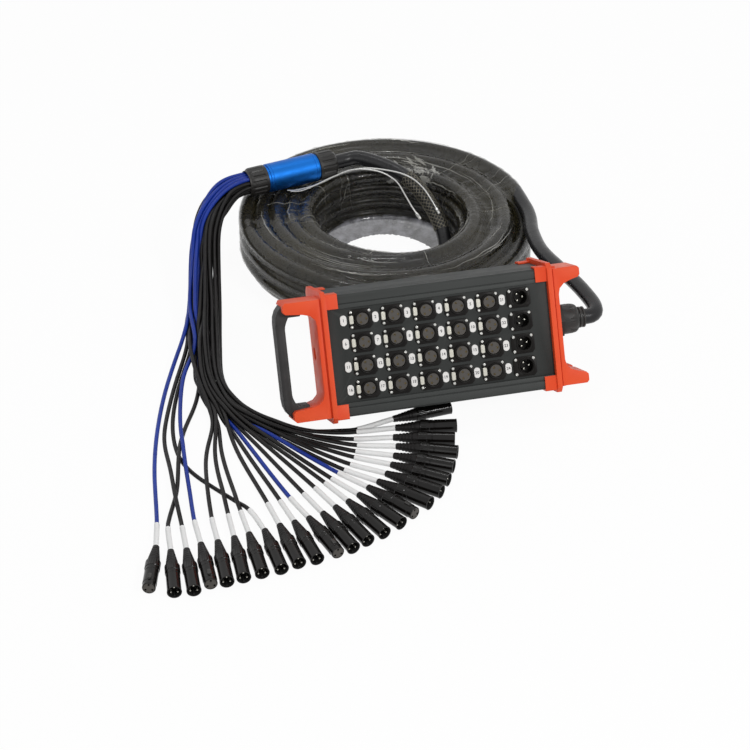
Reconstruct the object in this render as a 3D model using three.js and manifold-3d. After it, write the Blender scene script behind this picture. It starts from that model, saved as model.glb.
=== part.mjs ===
// A stage box snake: a 24-way audio stage box that leans back on its lower edge,
// its trunk cable wound into a coil behind it, the splitter that lies on the coil,
// and 24 tails that fan out over the floor to cable connectors.
// Millimetres, +Z up. The origin is on the floor, under the middle of the box.
import * as THREE from 'three';
import { mergeVertices } from 'three/addons/utils/BufferGeometryUtils.js';
import Module from 'manifold-3d';

const wasm = await Module();
wasm.setup();

// Clearances shared by all the pieces
const seatGap = 0.3; // between two pieces that touch
const overrun = 1; // how far a cutter runs past a face
const weld = 0.4; // how far a boss sinks into the piece that it grows from

// Case: an aluminium extrusion, open at the front between two lips
const boxLean = 26; // degrees
const caseLength = 293;
const caseDepth = 90;
const caseHeight = 158;
const caseWall = 3;
const caseBevel = 2.5;
const lipHeight = 18;
const lipWall = 2;
const grooveWidth = 2;
const grooveDepth = 0.9;
const lipGrooveDrop = 12; // from the top of the case to the groove in the lip
const roofGrooveInset = 12; // from the front of the case to the first groove
const roofGroovePitch = 9;
const roofGrooveCount = 3;

// Front panel: a plate that slides into slots in the lips
const panelThickness = 3;
const panelTuck = 3;

// Panel sockets, turned so that their latch tabs point left, as many as the opening takes
const panelEndMargin = 20;
const columnPitch = 42;
const rowPitch = 30;
const socketColumns = Math.floor((caseLength - 2 * panelEndMargin) / columnPitch);
const socketRows = Math.floor((caseHeight - 2 * lipHeight) / rowPitch);
const socketShift = 2; // the grid stands right of the middle, to leave room for labels
const flangeWidth = 31;
const flangeHeight = 26;
const flangeBevel = 4;
const flangeThickness = 1.6;
const faceShift = 2; // from the middle of the flange to the round face
const collarDiameter = 20;
const collarHeight = 1.8;
const faceDiameter = 15;
const faceBevel = 0.8;
const cupDiameter = 22.5;
const cupBore = 18.5;
const cupLength = 13;
const cupFloor = 2.5;
const pinDiameter = 2.4;
const pinCircle = 9.8;
const panelPinLength = 8;

// Latch tabs of the female sockets
const tabWidth = 5.6;
const tabHeight = 11;
const tabProud = 3.4;
const tabTravel = 1.2;
const tabPocket = 1.8; // from the face of the panel to the floor of the pocket behind a tab
const tabShift = 12.3;
const tabRound = 1.4;

// End caps: moulded bumpers on both ends of the case
const capFlange = 6.5;
const capMargin = 6;
const capCorner = 7;
const capWeb = 7.5;
const clampReach = 15.5;
const clampThickness = 2;
const clampDrop = 19.5;
const clampWrap = 18;
const archInset = 3.5; // from the rim of the flange back to the front of an arch
const ribGrooveWidth = 2; // between the flange and an arch, all along the front
const ribGrooveDepth = 1.5;
const earInset = 2; // from the outside of the case to the outer side of an ear
const earThickness = 14.5;
const earRoot = 17; // ear thickness at the web
const earCornerCut = 4; // off the rear corner of a tip
const webFillet = 17;
const leftEarReach = 56; // from the case end to the tip of an ear
const rightEarReach = 44;
const archDepth = 50; // how far the left arch runs back from the front
const rightArchDepth = 52;
const archValley = 20; // between the front and the rear ear of the right cap
const rearEarInset = 7; // how much lower a rear ear stands than a front one
const webSlotWidth = 12;
const webSlotHeight = 15;
const webSlotDepth = 3;
const webSlotRise = 3;

// Carry handle on the left cap: its lugs sit in pockets behind the fronts of the ears
const handleThickness = 11.8;
const handleWidth = 27;
const handleSpan = 98; // length of the straight grip, outside
const handleStandoff = 39.5; // finger room between the web and the grip
const handleBevel = 3;
const lugCover = 12; // thickness of the ear in front of a lug
const lugReach = 24;
const lugHeight = 15;
const lugSpread = 5.6; // how far the inner side of the bar leans out towards a lug
const lugBend = 15; // height of that lean
const hoodWall = 4.5; // the ear outside a lug
const bendShare = 0.65;

// Cable gland in the right cap
const glandRise = 3;
const glandHexWidth = 41;
const glandHexLength = 12;
const glandNutDiameter = 40;
const glandNutLength = 22.5;
const glandNutDome = 9;
const glandRibCount = 8;
const glandRibDepth = 1.6;
const glandClampDiameter = 28;
const glandClampLength = 9.5;
const glandRingCount = 2;
const glandRingDepth = 1.8;
const glandShankDiameter = 30;
const glandShankLength = 6;

// Trunk cable and its coil
const trunkDiameter = 20.5;
const coilColumns = 5;
const coilLevels = 4;
const coilPitch = 21.3;
const coilOuterRadius = 198; // to the middle of the outermost turns
const coilCentre = [30, 364];
const coilTurnSteps = 18;
const coilEntrySteps = 7; // where the lead comes in, before the first whole turn
const coilSides = 6;
const tubeSides = 8;

// Splitter: a metal sleeve between two cap nuts
const splitterDiameter = 41;
const sleeveLength = 80;
const sleeveStep = 1.5;
const sleeveShoulder = 3;
const sleeveBore = 36;
const nutLength = 29;
const nutRibCount = 8;
const nutRibDepth = 1.6;
const nutDome = 6;
const nutMouthShare = 0.7; // of the trunk's diameter, the radius where the nut's dome ends
const sealLength = 5;
const sealSink = 3;

// Tails and their cable connectors
const tailDiameter = 5.6;
const tailPitch = 5.95; // in the pack at the nut
const loosePitch = 7; // least pitch further on
const floorPitch = 4.4; // sideways pitch of the tails where they have spread over the floor
const settleRounds = 40;
const settleSteps = 6;
const plugDiameter = 19;
const plugLength = 80;
const bootLength = 32;
const bootStartDiameter = 9;
const bootEndDiameter = 16;
const collarLength = 12;
const barrelDiameter = 17.6;
const plugBore = 15.6;
const plugBoreDepth = 14;
const plugPinLength = 11;
const plugHoleDepth = 6;
const plugSides = 8;
const buttonLength = 9;
const buttonWidth = 5;
const buttonProud = 1.6;
const buttonTravel = 1.2;
const buttonSetback = 8;

// Paths of the free cord stretches, as points chosen by hand
const leadInPoints = [
  [226, 7, 99], [230, 24, 99], [229, 50, 98], [225, 90, 95], [217, 140, 90],
  [211, 200, 83], [216, 260, 78], [225, 300, 75],
];
const leadOutPoints = [
  [14, 475, 107], [46, 453, 104], [76, 424, 94], [97, 392, 74], [110, 362, 48], [112, 336, 24],
];
const splitterCentre = [-87, 457.5];
const splitterHeading = 12; // degrees, from the tails to the trunk
const bundlePoints = [
  [-194, 434, 104], [-232, 393, 81], [-250, 334, 48], [-263, 262, 25], [-275, 178, 15],
  [-284, 98, 11],
];
const bundleShares = [0.05, 0.15, 0.3, 0.45, 0.6, 0.7];
const fanShares = [0.25, 0.6];
const fanLanding = 0.5; // share of the fan after which all the tails lie on the floor

// Cable connectors, left to right: boot end x and y, and heading in degrees
const plugPlaces = [
  [-408, -238, -106], [-392, -250, -97], [-373, -252, -94], [-354, -245, -92],
  [-333, -245, -93], [-312, -242, -93], [-293, -239, -90], [-273, -237, -87],
  [-253, -231, -85], [-234, -229, -82], [-215, -225, -76], [-196, -220, -75],
  [-178, -211, -73], [-160, -203, -69], [-144, -193, -62], [-129, -181, -57],
  [-114, -172, -49], [-100, -158, -43], [-89, -141, -38], [-81, -123, -31],
  [-73, -104, -23], [-72, -84, -16], [-64, -64, -10], [-62, -44, 6],
];
const femalePlugs = [1, 4, 11, 16];
const plugRun = 62; // straight length of tail behind each connector, under its sleeve

// Materials
const finish = (color, roughness, metalness) =>
  new THREE.MeshStandardMaterial({ color, roughness, metalness });
const anodised = finish(0x424445, 0.5, 0.6);
const bumper = finish(0xeb552d, 0.55, 0);
const blackPlastic = finish(0x1b1a19, 0.45, 0);
const handlePlastic = finish(0x3c3a3a, 0.6, 0);
const socketBlack = finish(0x181614, 0.4, 0.2);
const nickel = finish(0xb4b2a5, 0.35, 0.8);
const blueMetal = finish(0x0a5abe, 0.25, 0.8);
const trunkRubber = finish(0x26262a, 0.55, 0);
const tailRubber = finish(0x232020, 0.55, 0);
const plugMetal = finish(0x1e1816, 0.35, 0.4);

// Closed geometry to solid, and back
function solid(geometry) {
  const bare = geometry.index ? geometry.clone() : geometry;
  bare.deleteAttribute('normal');
  bare.deleteAttribute('uv');
  const merged = mergeVertices(bare, 1e-4);
  return new wasm.Manifold(
    new wasm.Mesh({
      numProp: 3,
      vertProperties: new Float32Array(merged.attributes.position.array),
      triVerts: new Uint32Array(merged.index.array),
    }),
  );
}

function toGeometry(body) {
  const mesh = body.getMesh();
  const geometry = new THREE.BufferGeometry();
  geometry.setAttribute('position', new THREE.BufferAttribute(mesh.vertProperties, 3));
  geometry.setIndex(new THREE.BufferAttribute(mesh.triVerts, 1));
  geometry.computeVertexNormals();
  return geometry;
}

function node(name, body, material) {
  const mesh = new THREE.Mesh(toGeometry(body), material);
  mesh.name = name;
  return mesh;
}

const union = (bodies) => bodies.reduce((sum, body) => sum.add(body));

// An outline in two axes, pushed along the third one, as a solid
const axesAlong = {
  x: [new THREE.Vector3(0, 1, 0), new THREE.Vector3(0, 0, 1), new THREE.Vector3(1, 0, 0)],
  y: [new THREE.Vector3(0, 0, 1), new THREE.Vector3(1, 0, 0), new THREE.Vector3(0, 1, 0)],
  z: [new THREE.Vector3(1, 0, 0), new THREE.Vector3(0, 1, 0), new THREE.Vector3(0, 0, 1)],
};

function prism(outline, axis, start, end) {
  const shape = outline instanceof THREE.Shape ? outline : polygon(outline);
  const geometry = new THREE.ExtrudeGeometry(shape, {
    depth: end - start,
    bevelEnabled: false,
    curveSegments: 3,
  });
  geometry.translate(0, 0, start);
  geometry.applyMatrix4(new THREE.Matrix4().makeBasis(...axesAlong[axis]));
  return solid(geometry);
}

function polygon(points) {
  return new THREE.Shape(points.map(([a, b]) => new THREE.Vector2(a, b)));
}

function bevelledRectangle(width, height, bevel) {
  const a = width / 2;
  const b = height / 2;
  return [
    [a, bevel - b], [a, b - bevel], [a - bevel, b], [bevel - a, b],
    [-a, b - bevel], [-a, bevel - b], [bevel - a, -b], [a - bevel, -b],
  ];
}

// A revolved profile of [radius, distance along the axis], as a solid along +Z
function turned(profile, sides) {
  const points = profile.map(([radius, along]) => new THREE.Vector2(radius, along));
  const geometry = new THREE.LatheGeometry(points, sides);
  geometry.rotateX(Math.PI / 2);
  const body = solid(geometry);
  return body.volume() < 0 ? mirrored(geometry) : body;
}

function mirrored(geometry) {
  const flipped = geometry.index.array.slice();
  for (let i = 0; i < flipped.length; i += 3) {
    [flipped[i], flipped[i + 1]] = [flipped[i + 1], flipped[i]];
  }
  geometry.setIndex(new THREE.BufferAttribute(flipped, 1));
  return solid(geometry);
}

const rod = (diameter, start, end, sides) =>
  turned([[0, start], [diameter / 2, start], [diameter / 2, end], [0, end]], sides);

// Rotations that point a turned body's axis
const towardsFront = [90, 0, 0];
const towardsRight = [0, 90, 0];

// Case: a C section with slots for the panel and grooves outside
function makeCase() {
  const front = -caseDepth / 2;
  const rear = caseDepth / 2;
  const top = caseHeight / 2;
  const opening = top - lipHeight;
  const slotFront = front + lipWall;
  const slotRear = slotFront + panelThickness + 2 * seatGap;
  const upper = [[rear, top - caseBevel], [rear - caseBevel, top]];
  for (let i = roofGrooveCount - 1; i >= 0; i -= 1) {
    const middle = front + roofGrooveInset + i * roofGroovePitch;
    upper.push([middle + grooveWidth / 2, top], [middle + grooveWidth / 2, top - grooveDepth]);
    upper.push([middle - grooveWidth / 2, top - grooveDepth], [middle - grooveWidth / 2, top]);
  }
  const groove = top - lipGrooveDrop;
  upper.push(
    [front + caseBevel, top], [front, top - caseBevel],
    [front, groove + grooveWidth / 2], [front + grooveDepth, groove + grooveWidth / 2],
    [front + grooveDepth, groove - grooveWidth / 2], [front, groove - grooveWidth / 2],
    [front, opening], [slotFront, opening],
    [slotFront, opening + panelTuck], [slotRear, opening + panelTuck],
    [slotRear, opening], [slotRear + lipWall, opening],
    [slotRear + lipWall, top - caseWall], [rear - caseWall, top - caseWall],
  );
  const lower = upper.map(([y, z]) => [y, -z]).reverse();
  const end = caseLength / 2 - seatGap;
  return prism([...upper, ...lower], 'x', -end, end);
}

// Where the panel and its sockets are, in the frame of the box
const panelFace = -caseDepth / 2 + lipWall + seatGap;
const socketCentre = (column, row) => [
  (column - (socketColumns - 1) / 2) * columnPitch + socketShift,
  ((socketRows - 1) / 2 - row) * rowPitch,
];
const isMaleSocket = (column) => column === socketColumns - 1;

function femaleSocketFace() {
  const outer = collarDiameter / 2;
  const crest = faceDiameter / 2;
  const profile = [
    [0, flangeThickness - weld], [outer, flangeThickness - weld],
    [outer, flangeThickness + collarHeight - faceBevel], [crest, flangeThickness + collarHeight],
    [0, flangeThickness + collarHeight],
  ];
  return turned(profile, 8).rotate(towardsFront).translate([faceShift, 0, 0]);
}

function pinPlaces(count, circle) {
  return Array.from({ length: count }, (unused, i) => {
    const angle = (2 * Math.PI * i) / count;
    return [(circle / 2) * Math.cos(angle), (circle / 2) * Math.sin(angle)];
  });
}

// Three contact pins on a circle, the first one to the right
function pins(start, end) {
  return union(
    pinPlaces(3, pinCircle).map(([a, b]) => rod(pinDiameter, start, end, 5).translate([a, b, 0])),
  );
}

function maleSocket(flange) {
  const behind = panelThickness + cupLength;
  const cup = rod(cupDiameter, -behind, 0, 12);
  const bore = rod(cupBore, cupFloor - behind, flangeThickness + overrun, 12);
  const pinStart = cupFloor - behind - weld;
  const turn = (body) => body.rotate(towardsFront).translate([faceShift, 0, 0]);
  const shell = flange.add(turn(cup)).subtract(turn(bore));
  return { shell, bore: turn(bore), pins: turn(pins(pinStart, pinStart + weld + panelPinLength)) };
}

// The pocket of a latch tab: a recess in the panel, open through the edge of the flange
function tabSeat() {
  const height = tabHeight + 2 * seatGap;
  const width = tabWidth + 2 * seatGap;
  const recess = prism(bevelledRectangle(height, width, tabRound), 'y', -overrun, tabPocket);
  const side = (flangeWidth + overrun) / 2 - tabShift;
  const notch = bevelledRectangle(height, width / 2 + side, tabRound / 2);
  const start = -flangeThickness - overrun;
  return recess
    .translate([-tabShift, 0, 0])
    .add(prism(notch, 'y', start, 0).translate([-tabShift - (side - width / 2) / 2, 0, 0]));
}

function makePanel() {
  const halfHeight = caseHeight / 2 - lipHeight + panelTuck - seatGap;
  const halfLength = caseLength / 2 - seatGap;
  const plateOutline = [
    [panelFace, -halfHeight], [panelFace + panelThickness, -halfHeight],
    [panelFace + panelThickness, halfHeight], [panelFace, halfHeight],
  ];
  let plate = prism(plateOutline, 'x', -halfLength, halfLength);
  const flangeOutline = bevelledRectangle(flangeHeight, flangeWidth, flangeBevel);
  const flange = prism(flangeOutline, 'y', -flangeThickness, weld);
  const female = flange.add(femaleSocketFace());
  const seat = tabSeat();
  const male = maleSocket(flange);
  for (let column = 0; column < socketColumns; column += 1) {
    for (let row = 0; row < socketRows; row += 1) {
      const [x, z] = socketCentre(column, row);
      const place = (body) => body.translate([x, panelFace, z]);
      if (isMaleSocket(column)) {
        plate = plate.add(place(male.shell)).subtract(place(male.bore)).add(place(male.pins));
      } else {
        plate = plate.add(place(female)).subtract(place(seat));
      }
    }
  }
  return plate;
}

// A latch tab: a small plate that is pressed in to let a plug go
function makeTab() {
  const outline = bevelledRectangle(tabHeight, tabWidth, tabRound);
  return prism(outline, 'y', -tabProud, tabPocket - tabTravel - seatGap);
}

// End cap: flange, web and ears, with four clamps that hook over the case
const capInner = caseLength / 2;
const capFace = capInner + capFlange;
const webFace = capFace + capWeb;
const capFront = -caseDepth / 2 - capMargin;
const capRear = caseDepth / 2 + capMargin;
const capTop = caseHeight / 2 + capMargin;

const archFront = capFront + archInset;
const earOuter = caseHeight / 2 - earInset;

// Outline of an arch in x and z: a web with an ear at its top and its bottom.
// The inset lowers the outer side of the ears.
function archOutline(reach, inset) {
  const tip = capInner + reach;
  const outer = earOuter - inset;
  const inside = earOuter - earRoot;
  const tipInside = earOuter - earThickness;
  const corner = (outer - tipInside) / 5;
  const slope = (inside - tipInside) / (tip - corner - webFace - webFillet);
  const bend = inside + slope * webFillet;
  const shape = new THREE.Shape();
  shape.moveTo(-outer, capInner + overrun);
  shape.lineTo(outer, capInner + overrun);
  shape.lineTo(outer, tip - corner);
  shape.lineTo(outer - corner, tip);
  shape.lineTo(tipInside + corner, tip);
  shape.lineTo(tipInside, tip - corner);
  shape.lineTo(inside, webFace + webFillet);
  shape.quadraticCurveTo(bend, webFace, inside - webFillet, webFace);
  shape.lineTo(webFillet - inside, webFace);
  shape.quadraticCurveTo(-bend, webFace, -inside, webFace + webFillet);
  shape.lineTo(-tipInside, tip - corner);
  shape.lineTo(-tipInside - corner, tip);
  shape.lineTo(corner - outer, tip);
  shape.lineTo(-outer, tip - corner);
  shape.closePath();
  return shape;
}

// An arch between two depths, with the rear corners of its tips cut off
function arch(reach, inset, start, end) {
  const tip = capInner + reach + overrun;
  const rear = end + overrun;
  const cut = [[tip, rear], [tip - overrun - earCornerCut, rear], [tip, end - 2 * earCornerCut]];
  return prism(archOutline(reach, inset), 'y', start, end).subtract(
    prism(cut, 'z', -capTop, capTop),
  );
}

// The right cap, its outer side towards +X. The left cap is its mirror image.
function capBody(arches) {
  const plate = prism(
    bevelledRectangle(capRear - capFront, 2 * capTop, capCorner), 'x', capInner, capFace,
  );
  const grooveFloor = archFront + ribGrooveDepth;
  const groove = prism(
    [
      [archFront - overrun, -capTop], [grooveFloor, -capTop],
      [grooveFloor, capTop], [archFront - overrun, capTop],
    ],
    'x', capFace, capFace + ribGrooveWidth,
  );
  return union([plate, ...arches, ...clamps()]).subtract(groove);
}

// Clamps are angle pieces round each long edge of the case
function clamps() {
  const edgeY = caseDepth / 2 + seatGap;
  const edgeZ = caseHeight / 2 + seatGap;
  const outerY = edgeY + clampThickness;
  const outerZ = edgeZ + clampThickness;
  const bevel = clampThickness / 2;
  const angle = [
    [outerY, outerZ - clampDrop], [outerY, outerZ - bevel], [outerY - bevel, outerZ],
    [outerY - clampWrap, outerZ], [outerY - clampWrap, edgeZ], [edgeY - caseBevel, edgeZ],
    [edgeY, edgeZ - caseBevel], [edgeY, outerZ - clampDrop],
  ];
  const start = capInner - clampReach;
  const rearTop = prism(angle, 'x', start, capInner + weld);
  return [
    rearTop, rearTop.mirror([0, 1, 0]), rearTop.mirror([0, 0, 1]),
    rearTop.mirror([0, 1, 0]).mirror([0, 0, 1]),
  ];
}

function makeRightCap() {
  const rearStart = archFront + rightArchDepth + archValley;
  const web = prism(
    bevelledRectangle(caseDepth, caseHeight, capCorner), 'x', capFace - weld, webFace,
  );
  const arches = [
    arch(rightEarReach, 0, archFront, archFront + rightArchDepth),
    arch(rightEarReach, rearEarInset, rearStart, capRear - archInset),
  ];
  const hole = rod(glandShankDiameter + 2 * seatGap, capInner - overrun, webFace + overrun, 16)
    .rotate(towardsRight)
    .translate([0, 0, glandRise]);
  return capBody([web, ...arches]).subtract(hole);
}

function makeLeftCap() {
  const rear = archFront + archDepth;
  const slot = prism(
    bevelledRectangle(webSlotWidth, webSlotHeight, webSlotWidth / 4), 'x',
    webFace - webSlotDepth, webFace + overrun,
  ).translate([0, rear - webSlotWidth, webSlotRise]);
  const hood = earOuter - hoodWall;
  const tip = capInner + leftEarReach;
  const pocket = prism(
    [[-hood, tip - lugReach], [hood, tip - lugReach], [hood, tip + overrun], [-hood, tip + overrun]],
    'y', archFront + lugCover, rear + overrun,
  );
  return capBody([arch(leftEarReach, 0, archFront, rear).subtract(pocket)])
    .subtract(slot)
    .mirror([1, 0, 0]);
}

// Carry handle: a bent bar whose lugs fill the front of the pockets in the ears
function makeHandle() {
  const gripInside = -(webFace + handleStandoff);
  const gripOutside = gripInside - handleThickness;
  const tip = -(capInner + leftEarReach);
  const lugEnd = tip + lugReach - seatGap;
  const lugOuter = earOuter - hoodWall - seatGap;
  const lugInner = lugOuter - lugHeight;
  const half = handleSpan / 2;
  const bend = half + (lugOuter - half) * bendShare;
  const lean = lugInner - lugBend * bendShare;
  const shape = new THREE.Shape();
  shape.moveTo(-half, gripOutside);
  shape.lineTo(half, gripOutside);
  shape.quadraticCurveTo(bend, gripOutside, lugOuter, tip);
  shape.lineTo(lugOuter, lugEnd);
  shape.lineTo(lugInner, lugEnd);
  shape.lineTo(lugInner, gripInside + lugSpread);
  shape.quadraticCurveTo(lean, gripInside, lugInner - lugBend, gripInside);
  shape.lineTo(lugBend - lugInner, gripInside);
  shape.quadraticCurveTo(-lean, gripInside, -lugInner, gripInside + lugSpread);
  shape.lineTo(-lugInner, lugEnd);
  shape.lineTo(-lugOuter, lugEnd);
  shape.lineTo(-lugOuter, tip);
  shape.quadraticCurveTo(-bend, gripOutside, -half, gripOutside);
  const start = archFront + lugCover + seatGap;
  const bar = prism(shape, 'y', start, start + handleWidth);
  const edge = prism(
    [
      [gripOutside, start], [gripOutside, start + handleBevel], [gripOutside + handleBevel, start],
    ],
    'z', -half, half,
  );
  return bar.subtract(edge);
}

// A ribbed nut along +Z, domed at its far end
function ribbedNut(diameter, length, dome, ribs, ribDepth, end) {
  const radius = diameter / 2;
  const domeShares = [0, 1 / 3, 2 / 3, 1];
  const crown = domeShares.map((share) => [
    end + (radius - end) * Math.cos((share * Math.PI) / 2),
    length - dome + dome * Math.sin((share * Math.PI) / 2),
  ]);
  const body = turned([[0, 0], [radius, 0], ...crown, [0, length]], ribs * 2);
  const slotWidth = (Math.PI * diameter) / ribs / 3;
  const cutter = prism(
    bevelledRectangle(2 * ribDepth, slotWidth, ribDepth / 2), 'z', dome, length + overrun,
  ).translate([radius, 0, 0]);
  const cuts = Array.from({ length: ribs }, (unused, i) => cutter.rotate([0, 0, (360 * i) / ribs]));
  return body.subtract(union(cuts));
}

// The rubber end of the gland, with a groove under each ring
function ringedSleeve(length) {
  const outer = glandClampDiameter / 2;
  const inner = outer - glandRingDepth;
  const step = length / (2 * glandRingCount);
  const rings = Array.from({ length: glandRingCount }, (unused, i) => [
    [inner, 2 * i * step], [inner, (2 * i + 1) * step],
    [outer, (2 * i + 1) * step], [outer, (2 * i + 2) * step],
  ]);
  return turned([[0, 0], ...rings.flat(), [0, length]], 16);
}

function makeGland() {
  const hexStart = webFace + seatGap;
  const shank = rod(glandShankDiameter, hexStart - glandShankLength, hexStart + weld, 16);
  const hex = rod(glandHexWidth / Math.cos(Math.PI / 6), 0, glandHexLength, 6)
    .translate([0, 0, hexStart]);
  const nutStart = hexStart + glandHexLength - weld;
  const nut = ribbedNut(
    glandNutDiameter, glandNutLength, glandNutDome, glandRibCount, glandRibDepth,
    glandClampDiameter / 2,
  ).translate([0, 0, nutStart]);
  const clampStart = nutStart + glandNutLength - weld;
  const clamp = ringedSleeve(glandClampLength).translate([0, 0, clampStart]);
  return {
    body: union([shank, hex, nut, clamp]).rotate(towardsRight).translate([0, 0, glandRise]),
    end: clampStart + glandClampLength,
  };
}

// A tube of even section along a list of points, closed at both ends.
// Each ring stands square to the path, with its first corner held towards up.
function tube(points, radius, sides) {
  const positions = [];
  const index = [];
  const up = new THREE.Vector3(0, 0, 1);
  points.forEach((point, i) => {
    const before = points[Math.max(i - 1, 0)];
    const after = points[Math.min(i + 1, points.length - 1)];
    const along = new THREE.Vector3().subVectors(after, before).normalize();
    const side = new THREE.Vector3().crossVectors(along, up).normalize();
    const rise = new THREE.Vector3().crossVectors(side, along);
    for (let k = 0; k < sides; k += 1) {
      const angle = (2 * Math.PI * k) / sides;
      const corner = point.clone();
      corner.addScaledVector(rise, radius * Math.cos(angle));
      corner.addScaledVector(side, radius * Math.sin(angle));
      positions.push(corner.x, corner.y, corner.z);
    }
  });
  const last = (points.length - 1) * sides;
  for (let i = 0; i < points.length - 1; i += 1) {
    for (let k = 0; k < sides; k += 1) {
      const a = i * sides + k;
      const b = i * sides + ((k + 1) % sides);
      index.push(a, b, a + sides, b, b + sides, a + sides);
    }
  }
  for (let k = 1; k < sides - 1; k += 1) {
    index.push(0, k + 1, k, last, last + k, last + k + 1);
  }
  const geometry = new THREE.BufferGeometry();
  geometry.setAttribute('position', new THREE.Float32BufferAttribute(positions, 3));
  geometry.setIndex(index);
  const body = solid(geometry);
  return body.volume() < 0 ? mirrored(geometry) : body;
}

const vector = ([x, y, z]) => new THREE.Vector3(x, y, z);

function smoothPoints(points, steps) {
  const curve = new THREE.CatmullRomCurve3(points, false, 'centripetal');
  return curve.getSpacedPoints(steps);
}

// Coil: upright columns of turns, wound up one column and down the next.
// A turn is level except in the half turn where it moves to the next level or column.
// Up and down moves share one side of the coil, and each column move leads by a quarter turn.
const moveTurns = 0.5;
const columnTurns = coilLevels - moveTurns;
const columnLead = moveTurns / 2;
const coilStart = -coilEntrySteps / coilTurnSteps; // in turns, inside the first column
const coilEnd = columnTurns * coilColumns;
const moved = (turn, start) => THREE.MathUtils.smoothstep(turn, start, start + moveTurns);

function coilLevel(turn) {
  let level = 0;
  for (let column = 0; column < coilColumns; column += 1) {
    const direction = column % 2 === 0 ? 1 : -1;
    for (let i = 0; i < coilLevels - 1; i += 1) {
      level += direction * moved(turn, column * columnTurns + moveTurns + i);
    }
  }
  return level;
}

function coilColumn(turn) {
  let column = -1;
  for (let i = 0; i < coilColumns; i += 1) {
    column += moved(turn, i * columnTurns - columnLead);
  }
  return column;
}

const coilInnerRadius = coilOuterRadius - (coilColumns - 1) * coilPitch;

function coilPoint(turn) {
  const radius = coilInnerRadius + coilPitch * coilColumn(turn);
  const angle = Math.PI - 2 * Math.PI * turn;
  return new THREE.Vector3(
    coilCentre[0] + radius * Math.cos(angle),
    coilCentre[1] + radius * Math.sin(angle),
    trunkDiameter / 2 + coilPitch * coilLevel(turn),
  );
}

function coilPoints() {
  const count = Math.round((coilEnd - coilStart) * coilTurnSteps);
  return Array.from({ length: count + 1 }, (unused, i) =>
    coilPoint(coilStart + ((coilEnd - coilStart) * i) / count),
  );
}

// The least gap between turns, measured between segments more than half a turn apart
function leastCoilGap(points) {
  const reach = coilTurnSteps / 2;
  const here = new THREE.Vector3();
  const there = new THREE.Vector3();
  let least = Infinity;
  for (let i = 0; i + 1 < points.length; i += 1) {
    for (let j = i + reach; j + 1 < points.length; j += 1) {
      for (let k = 0; k < 3; k += 1) {
        here.lerpVectors(points[i], points[i + 1], k / 3);
        there.copy(new THREE.Line3(points[j], points[j + 1]).closestPointToPoint(here, true, there));
        least = Math.min(least, here.distanceTo(there) - trunkDiameter);
      }
    }
  }
  return least;
}

// Splitter places
const splitterAxis = new THREE.Vector3(
  Math.cos(THREE.MathUtils.degToRad(splitterHeading)),
  Math.sin(THREE.MathUtils.degToRad(splitterHeading)),
  0,
);
const splitterHeight = trunkDiameter + (coilLevels - 1) * coilPitch + seatGap + splitterDiameter / 2;
const splitterMiddle = new THREE.Vector3(...splitterCentre, splitterHeight);
const onSplitter = (along) => splitterMiddle.clone().addScaledVector(splitterAxis, along);
const nutFar = sleeveLength / 2 + seatGap + nutLength;

// Trunk: one unbroken tube from the splitter down into the hole and round the coil
function trunkPoints() {
  const nutEnd = nutFar + seatGap;
  const turns = coilPoints();
  const lead = [onSplitter(nutEnd + trunkDiameter), ...leadOutPoints.map(vector), turns[0]];
  const approach = smoothPoints(lead, leadOutPoints.length * 2);
  const straight = turns[turns.length - 1].clone();
  straight.y -= trunkDiameter;
  return { all: [onSplitter(nutEnd), ...approach.slice(0, -1), ...turns, straight], turns };
}

function makeLeadIn(glandEnd, coilExit) {
  const start = glandEnd.clone();
  const end = coilExit.clone();
  start.x += seatGap;
  end.y -= seatGap;
  const straightStart = start.clone();
  const straightEnd = end.clone();
  straightStart.x += trunkDiameter / 2;
  straightEnd.y -= trunkDiameter;
  const path = [straightStart, ...leadInPoints.map(vector), straightEnd];
  return [start, ...smoothPoints(path, leadInPoints.length * 3), end];
}

// Splitter pieces, each along +Z before it is placed
function placeOnSplitter(body, along) {
  const place = onSplitter(along);
  return body.rotate(towardsRight).rotate([0, 0, splitterHeading]).translate(place.toArray());
}

function makeSleeve() {
  const radius = splitterDiameter / 2;
  const half = sleeveLength / 2;
  const step = radius - sleeveStep;
  const bore = sleeveBore / 2;
  const profile = [
    [bore, -half], [step, -half], [step, sleeveShoulder - half], [radius, sleeveShoulder - half],
    [radius, half - sleeveShoulder], [step, half - sleeveShoulder], [step, half], [bore, half],
    [bore, -half],
  ];
  return placeOnSplitter(turned(profile, 24), 0);
}

function splitterNut(boreDiameter) {
  const nut = ribbedNut(
    splitterDiameter, nutLength, nutDome, nutRibCount, nutRibDepth,
    splitterDiameter / 2 - nutDome / 4,
  );
  return nut.subtract(rod(boreDiameter, -overrun, nutLength + overrun, 20));
}

function makeTrunkNut() {
  const nut = ribbedNut(
    splitterDiameter, nutLength, nutDome, nutRibCount, nutRibDepth, trunkDiameter * nutMouthShare,
  );
  return placeOnSplitter(nut, sleeveLength / 2 + seatGap);
}

function makeTailNut() {
  const nut = splitterNut(sleeveBore).rotate([0, 180, 0]);
  return placeOnSplitter(nut, -sleeveLength / 2 - seatGap);
}

// Tails lie in a hexagonal pack at the nut, sorted from left to right.
// In a section of the bundle, x runs across, y along and z upward.
function tailPack() {
  const rows = [4, 5, 6, 5, 4];
  const places = rows.flatMap((count, row) =>
    Array.from({ length: count }, (unused, i) =>
      new THREE.Vector3(
        (i - (count - 1) / 2) * tailPitch,
        0,
        (row - (rows.length - 1) / 2) * tailPitch * Math.cos(Math.PI / 6),
      ),
    ),
  );
  return places.sort((a, b) => a.x - b.x || a.z - b.z);
}

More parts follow.
